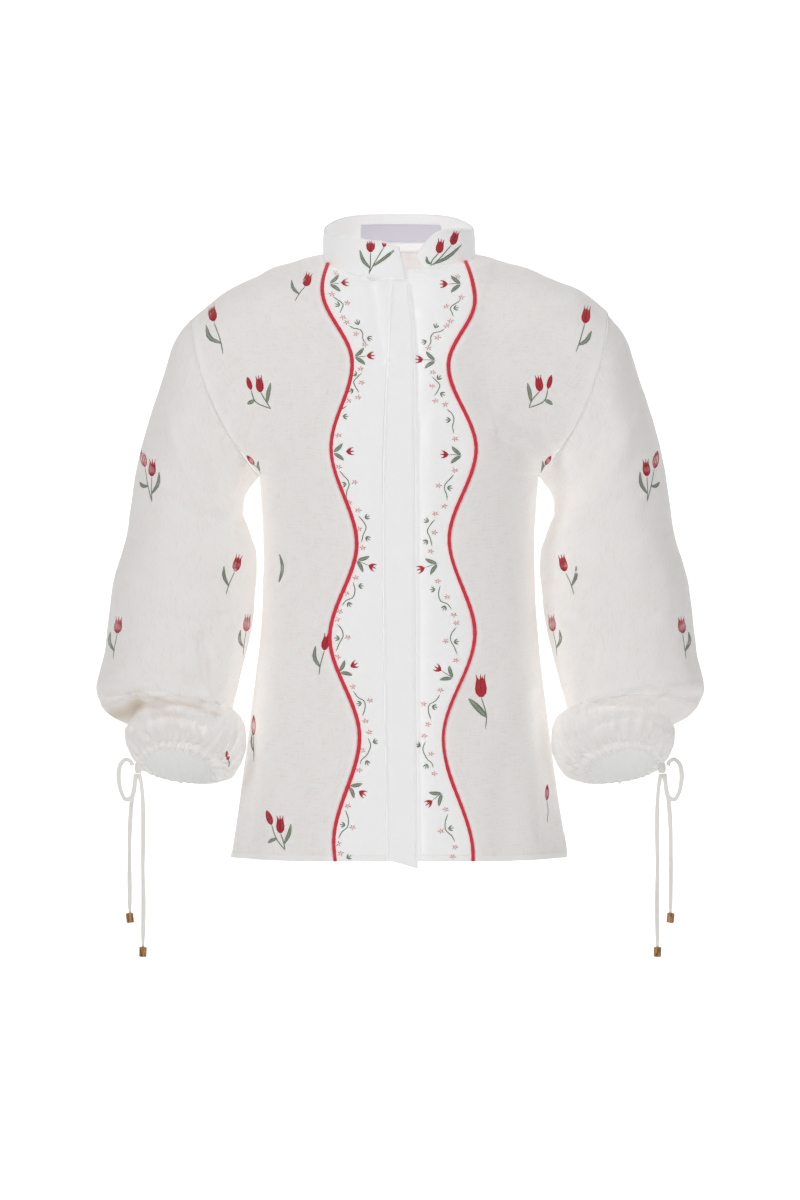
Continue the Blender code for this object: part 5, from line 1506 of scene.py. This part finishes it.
class Threads:
    """Laid threads, made into one piece for each kind of yarn."""

    def __init__(self):
        self.groups = {}

    def add(self, points, normals, wide, high, colour):
        self.groups.setdefault((len(points), colour), []).append((points, normals, wide, high))

    def make(self, name, colours):
        points, faces, tones, first = [], [], [], 0
        for (count, colour), laid in self.groups.items():
            if colour not in colours:
                continue
            path = np.stack([item[0] for item in laid])
            normal = unit(np.stack([item[1] for item in laid]))
            wide = np.array([item[2] for item in laid])[:, None, None]
            high = np.array([item[3] for item in laid])[:, None, None]
            run = unit(np.gradient(path, axis=1))
            side = unit(np.cross(run, normal))
            ends = np.ones(count)
            ends[[0, -1]] = 0.4
            ends = ends[:, None]
            half = side * wide / 2 * ends
            ring = np.stack([path + half, path + normal * high * (0.4 + 0.6 * ends), path - half,
                             path - normal * 0.12], 2)
            index = np.arange(ring[..., 0].size).reshape(ring.shape[:3]) + first
            wrap = np.concatenate([index, index[:, :, :1]], 2)
            quads = np.stack([wrap[:, :-1, :-1], wrap[:, 1:, :-1], wrap[:, 1:, 1:],
                              wrap[:, :-1, 1:]], -1).reshape(-1, 4)
            caps = np.concatenate([index[:, 0], index[:, -1, ::-1]])
            points.append(ring.reshape(-1, 3))
            faces += [quads, caps]
            tones += [colours.index(colour)] * (len(quads) + len(caps))
            first += ring[..., 0].size
        return new_piece(name, np.concatenate(points), np.concatenate(faces),
                         [THREADS[colour] for colour in colours], face_material=tones)


def stitch(threads, path, normals, pitch=2.9, length=2.1, wide=0.42):
    """A run of short machine stitches along a line on the cloth."""
    steps = distances(path)
    starts = np.arange(1.0, steps[-1] - length, pitch)
    at = starts[:, None] + np.array((0, 0.5, 1)) * length
    line, facing = (np.stack([np.interp(at, steps, column) for column in values.T], -1)
                    for values in (path, normals))
    for points, normal in zip(line, facing):
        threads.add(points, normal, wide, 0.28, WHITE)


def stitch_row(threads, cloth, row, first, short):
    """Stitches along one grid row of a cloth, from a column to so many before the end."""
    wide = cloth.points.shape[1]
    columns = np.linspace(first, wide - short, wide * 2)
    stitch(threads, *cloth.at(np.full(wide * 2, row), columns))


def row_at(cloth, distance, column):
    """The grid row that lies so far up a cloth, in one of its columns."""
    _, up = cloth.lengths()
    return np.interp(distance, up[:, column], np.arange(len(up)))


def stitch_hem(threads, cloth):
    stitch_row(threads, cloth, row_at(cloth, 6.0, cloth.points.shape[1] // 2), 0.2, 1.2)


def stitch_all(threads):
    """The seams' and hems' own stitches, on the cloth's grid."""
    for side in (RIGHT, LEFT):
        front = clothes["front_side", side]
        from_wave, _ = front.lengths()
        rows = np.arange(0, len(front.points) - 12, 1.0)
        columns = np.arange(front.points.shape[1])
        beside_wave = np.array([np.interp(1.4, from_wave[int(row)], columns) for row in rows])
        stitch(threads, *front.at(rows, beside_wave))
        stitch_hem(threads, front)
        stitch_hem(threads, clothes["front_centre", side])
        cuff = clothes["casing", side]
        for part in (0.22, 0.7):
            stitch_row(threads, cuff, len(cuff.points) * part, 0, 0.5)
        arm = clothes["sleeve", side]
        stitch_row(threads, arm, row_at(arm, 1.5, 0), 0, 0.5)
    fly = clothes["fly", RIGHT]
    count, wide = fly.points.shape[:2]
    rows = np.arange(1, count - 1, 1.0)
    for column in (wide - 2.4, 1.2):
        stitch(threads, *fly.at(rows, np.full(len(rows), column)))
    collar = clothes["collar", BACK]
    for row in (1.0, len(collar.points) - 2.4):
        stitch_row(threads, collar, row, 1.5, 2.5)
    stitch_hem(threads, clothes["back", BACK])
    label = clothes["label", BACK]
    count, wide = label.points.shape[:2]
    for column in (0.9, wide - 1.9):
        line = label.at(np.linspace(0.5, count - 1.5, 20), np.full(20, column))
        stitch(threads, *line, pitch=1.9, length=1.3, wide=0.35)


def embroider():
    threads = Threads()
    front = [clothes[key] for key in clothes if key[0] in (
        "front_side", "front_centre", "fly", "collar", "sleeve", "casing")]
    aim = Aim("front", front)
    for number, sprig in enumerate(SPRIGS):
        drawing = Drawing(100 + number)
        drawing.sprig(**sprig)
        aim.lay(drawing, threads)
    for side in (RIGHT, LEFT):
        drawing = Drawing(300 + side)
        for root, head in BORDER_TULIPS[side]:
            drawing.small_tulip(root, head)
        aim.lay(drawing, threads)
        drawing = Drawing(320 + side, mirrored=side == LEFT)
        drawing.border()
        aim.lay(drawing, threads)
    behind = Aim("back", [clothes[key] for key in clothes if key[0] in (
        "back", "back_upper", "collar", "sleeve")])
    drawing = Drawing(400)
    for x, y, tall, lean, heads in BACK_SPRIGS:
        drawing.free_sprig((x, y), tall, lean, heads)
    behind.lay(drawing, threads)
    for side in (RIGHT, LEFT):
        beside = Aim(side, [clothes["sleeve", side]])
        drawing = Drawing(500 + side)
        for x, y, tall, lean, heads in SIDE_SPRIGS:
            drawing.free_sprig((x, y), tall, lean, heads)
        beside.lay(drawing, threads)
    stitch_all(threads)
    threads.make("embroidery_tulips", [RED, DEEP])
    threads.make("embroidery_leaves", [SAGE, MOSS])
    threads.make("embroidery_florets", [PINK])
    threads.make("stitching", [WHITE])


scene = bpy.context.scene
camera_data = bpy.data.cameras.new("camera")
camera_data.sensor_fit = "VERTICAL"
camera_data.sensor_height = 36
camera_data.lens = 36 * -EYE_Y / (1200 * PIXEL)
camera = bpy.data.objects.new("camera", camera_data)
camera.location = (EYE_X * MM, EYE_Y * MM, EYE_Z * MM)
camera.rotation_euler = (math.radians(90), 0, 0)
scene.collection.objects.link(camera)
scene.camera = camera
scene.view_settings.view_transform = "Standard"


for side in (RIGHT, LEFT):
    make_piping(side)
    make_knot(side)
    for kind, route, tilt in (("short", SHORT_ROUTE, 0.1 * side), ("long", LONG_ROUTE, 0.04)):
        make_tie(kind, route, side, make_bead(kind, route[-1], side, tilt))
    make_tie("loop", LOOP_ROUTE, side, None)
for side in (RIGHT, LEFT):
    make_front_side(side)
    make_front_centre(side)
    make_sleeve(side)
    make_casing(side)
make_fly()
make_back()
make_collar()
make_label()
embroider()

for number in range(1, 8):
    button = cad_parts[f"button_{number}"]
    for slot in button.material_slots:
        slot.material = shell


def stage_sweep():
    """A pale floor that curves up into the wall behind; its far part glows."""
    floor, bend, wall, top = -1.2, 1.4, 8.0, 5.0
    a = np.linspace(0, math.pi / 2, 24)
    y = np.concatenate([[-6.0], wall - bend + bend * np.sin(a), [wall]])
    z = np.concatenate([[floor], floor + bend * (1 - np.cos(a)), [top]])
    points = [(x, py, pz) for x in (-7, 7) for py, pz in zip(y, z)]
    count = len(y)
    faces = [(i, i + count, i + count + 1, i + 1) for i in range(count - 1)]
    mesh = bpy.data.meshes.new("studio floor")
    mesh.from_pydata(points, [], faces)
    mesh.shade_smooth()
    sweep = bpy.data.objects.new("studio floor", mesh)
    scene.collection.objects.link(sweep)
    shader = Shader("studio white", roughness=0.9, specular=0.1)
    shader.set("Base Color", (0.9, 0.9, 0.9, 1))
    away = shader.node("ShaderNodeSeparateXYZ", {}, shader.place())
    glow = Num(shader, away.outputs[1]).between(0.5, 1.3)
    shader.set("Emission Color", shader.mix(glow, (0.09, 0.09, 0.09, 1), (1, 1, 1, 1)))
    shader.set("Emission Strength", 0.95)
    mesh.materials.append(shader.material)


def light(name, place, aim, size, power):
    data = bpy.data.lights.new(name, "AREA")
    data.size = size
    data.energy = power
    lamp = bpy.data.objects.new(name, data)
    lamp.location = place
    lamp.rotation_euler = (Vector(aim) - Vector(place)).to_track_quat("-Z", "Y").to_euler()
    scene.collection.objects.link(lamp)


stage_sweep()
light("key", (-1.9, -2.1, 1.6), (0, 0, -0.35), 0.9, 33)
light("fill", (2.2, -2.3, 0.8), (0, 0, -0.35), 1.6, 19.5)
light("top", (0.2, 0.3, 2.2), (0, 0, -0.3), 1.6, 12)
light("low", (0, -2.0, -1.1), (0, 0, -0.5), 1.4, 5.6)
light("back", (0.6, 2.2, 1.0), (0, 0, -0.35), 1.6, 4)
world = bpy.data.worlds.new("studio")
world.use_nodes = True
world.node_tree.nodes["Background"].inputs[0].default_value = (1, 1, 1, 1)
world.node_tree.nodes["Background"].inputs[1].default_value = 0.12
scene.world = world
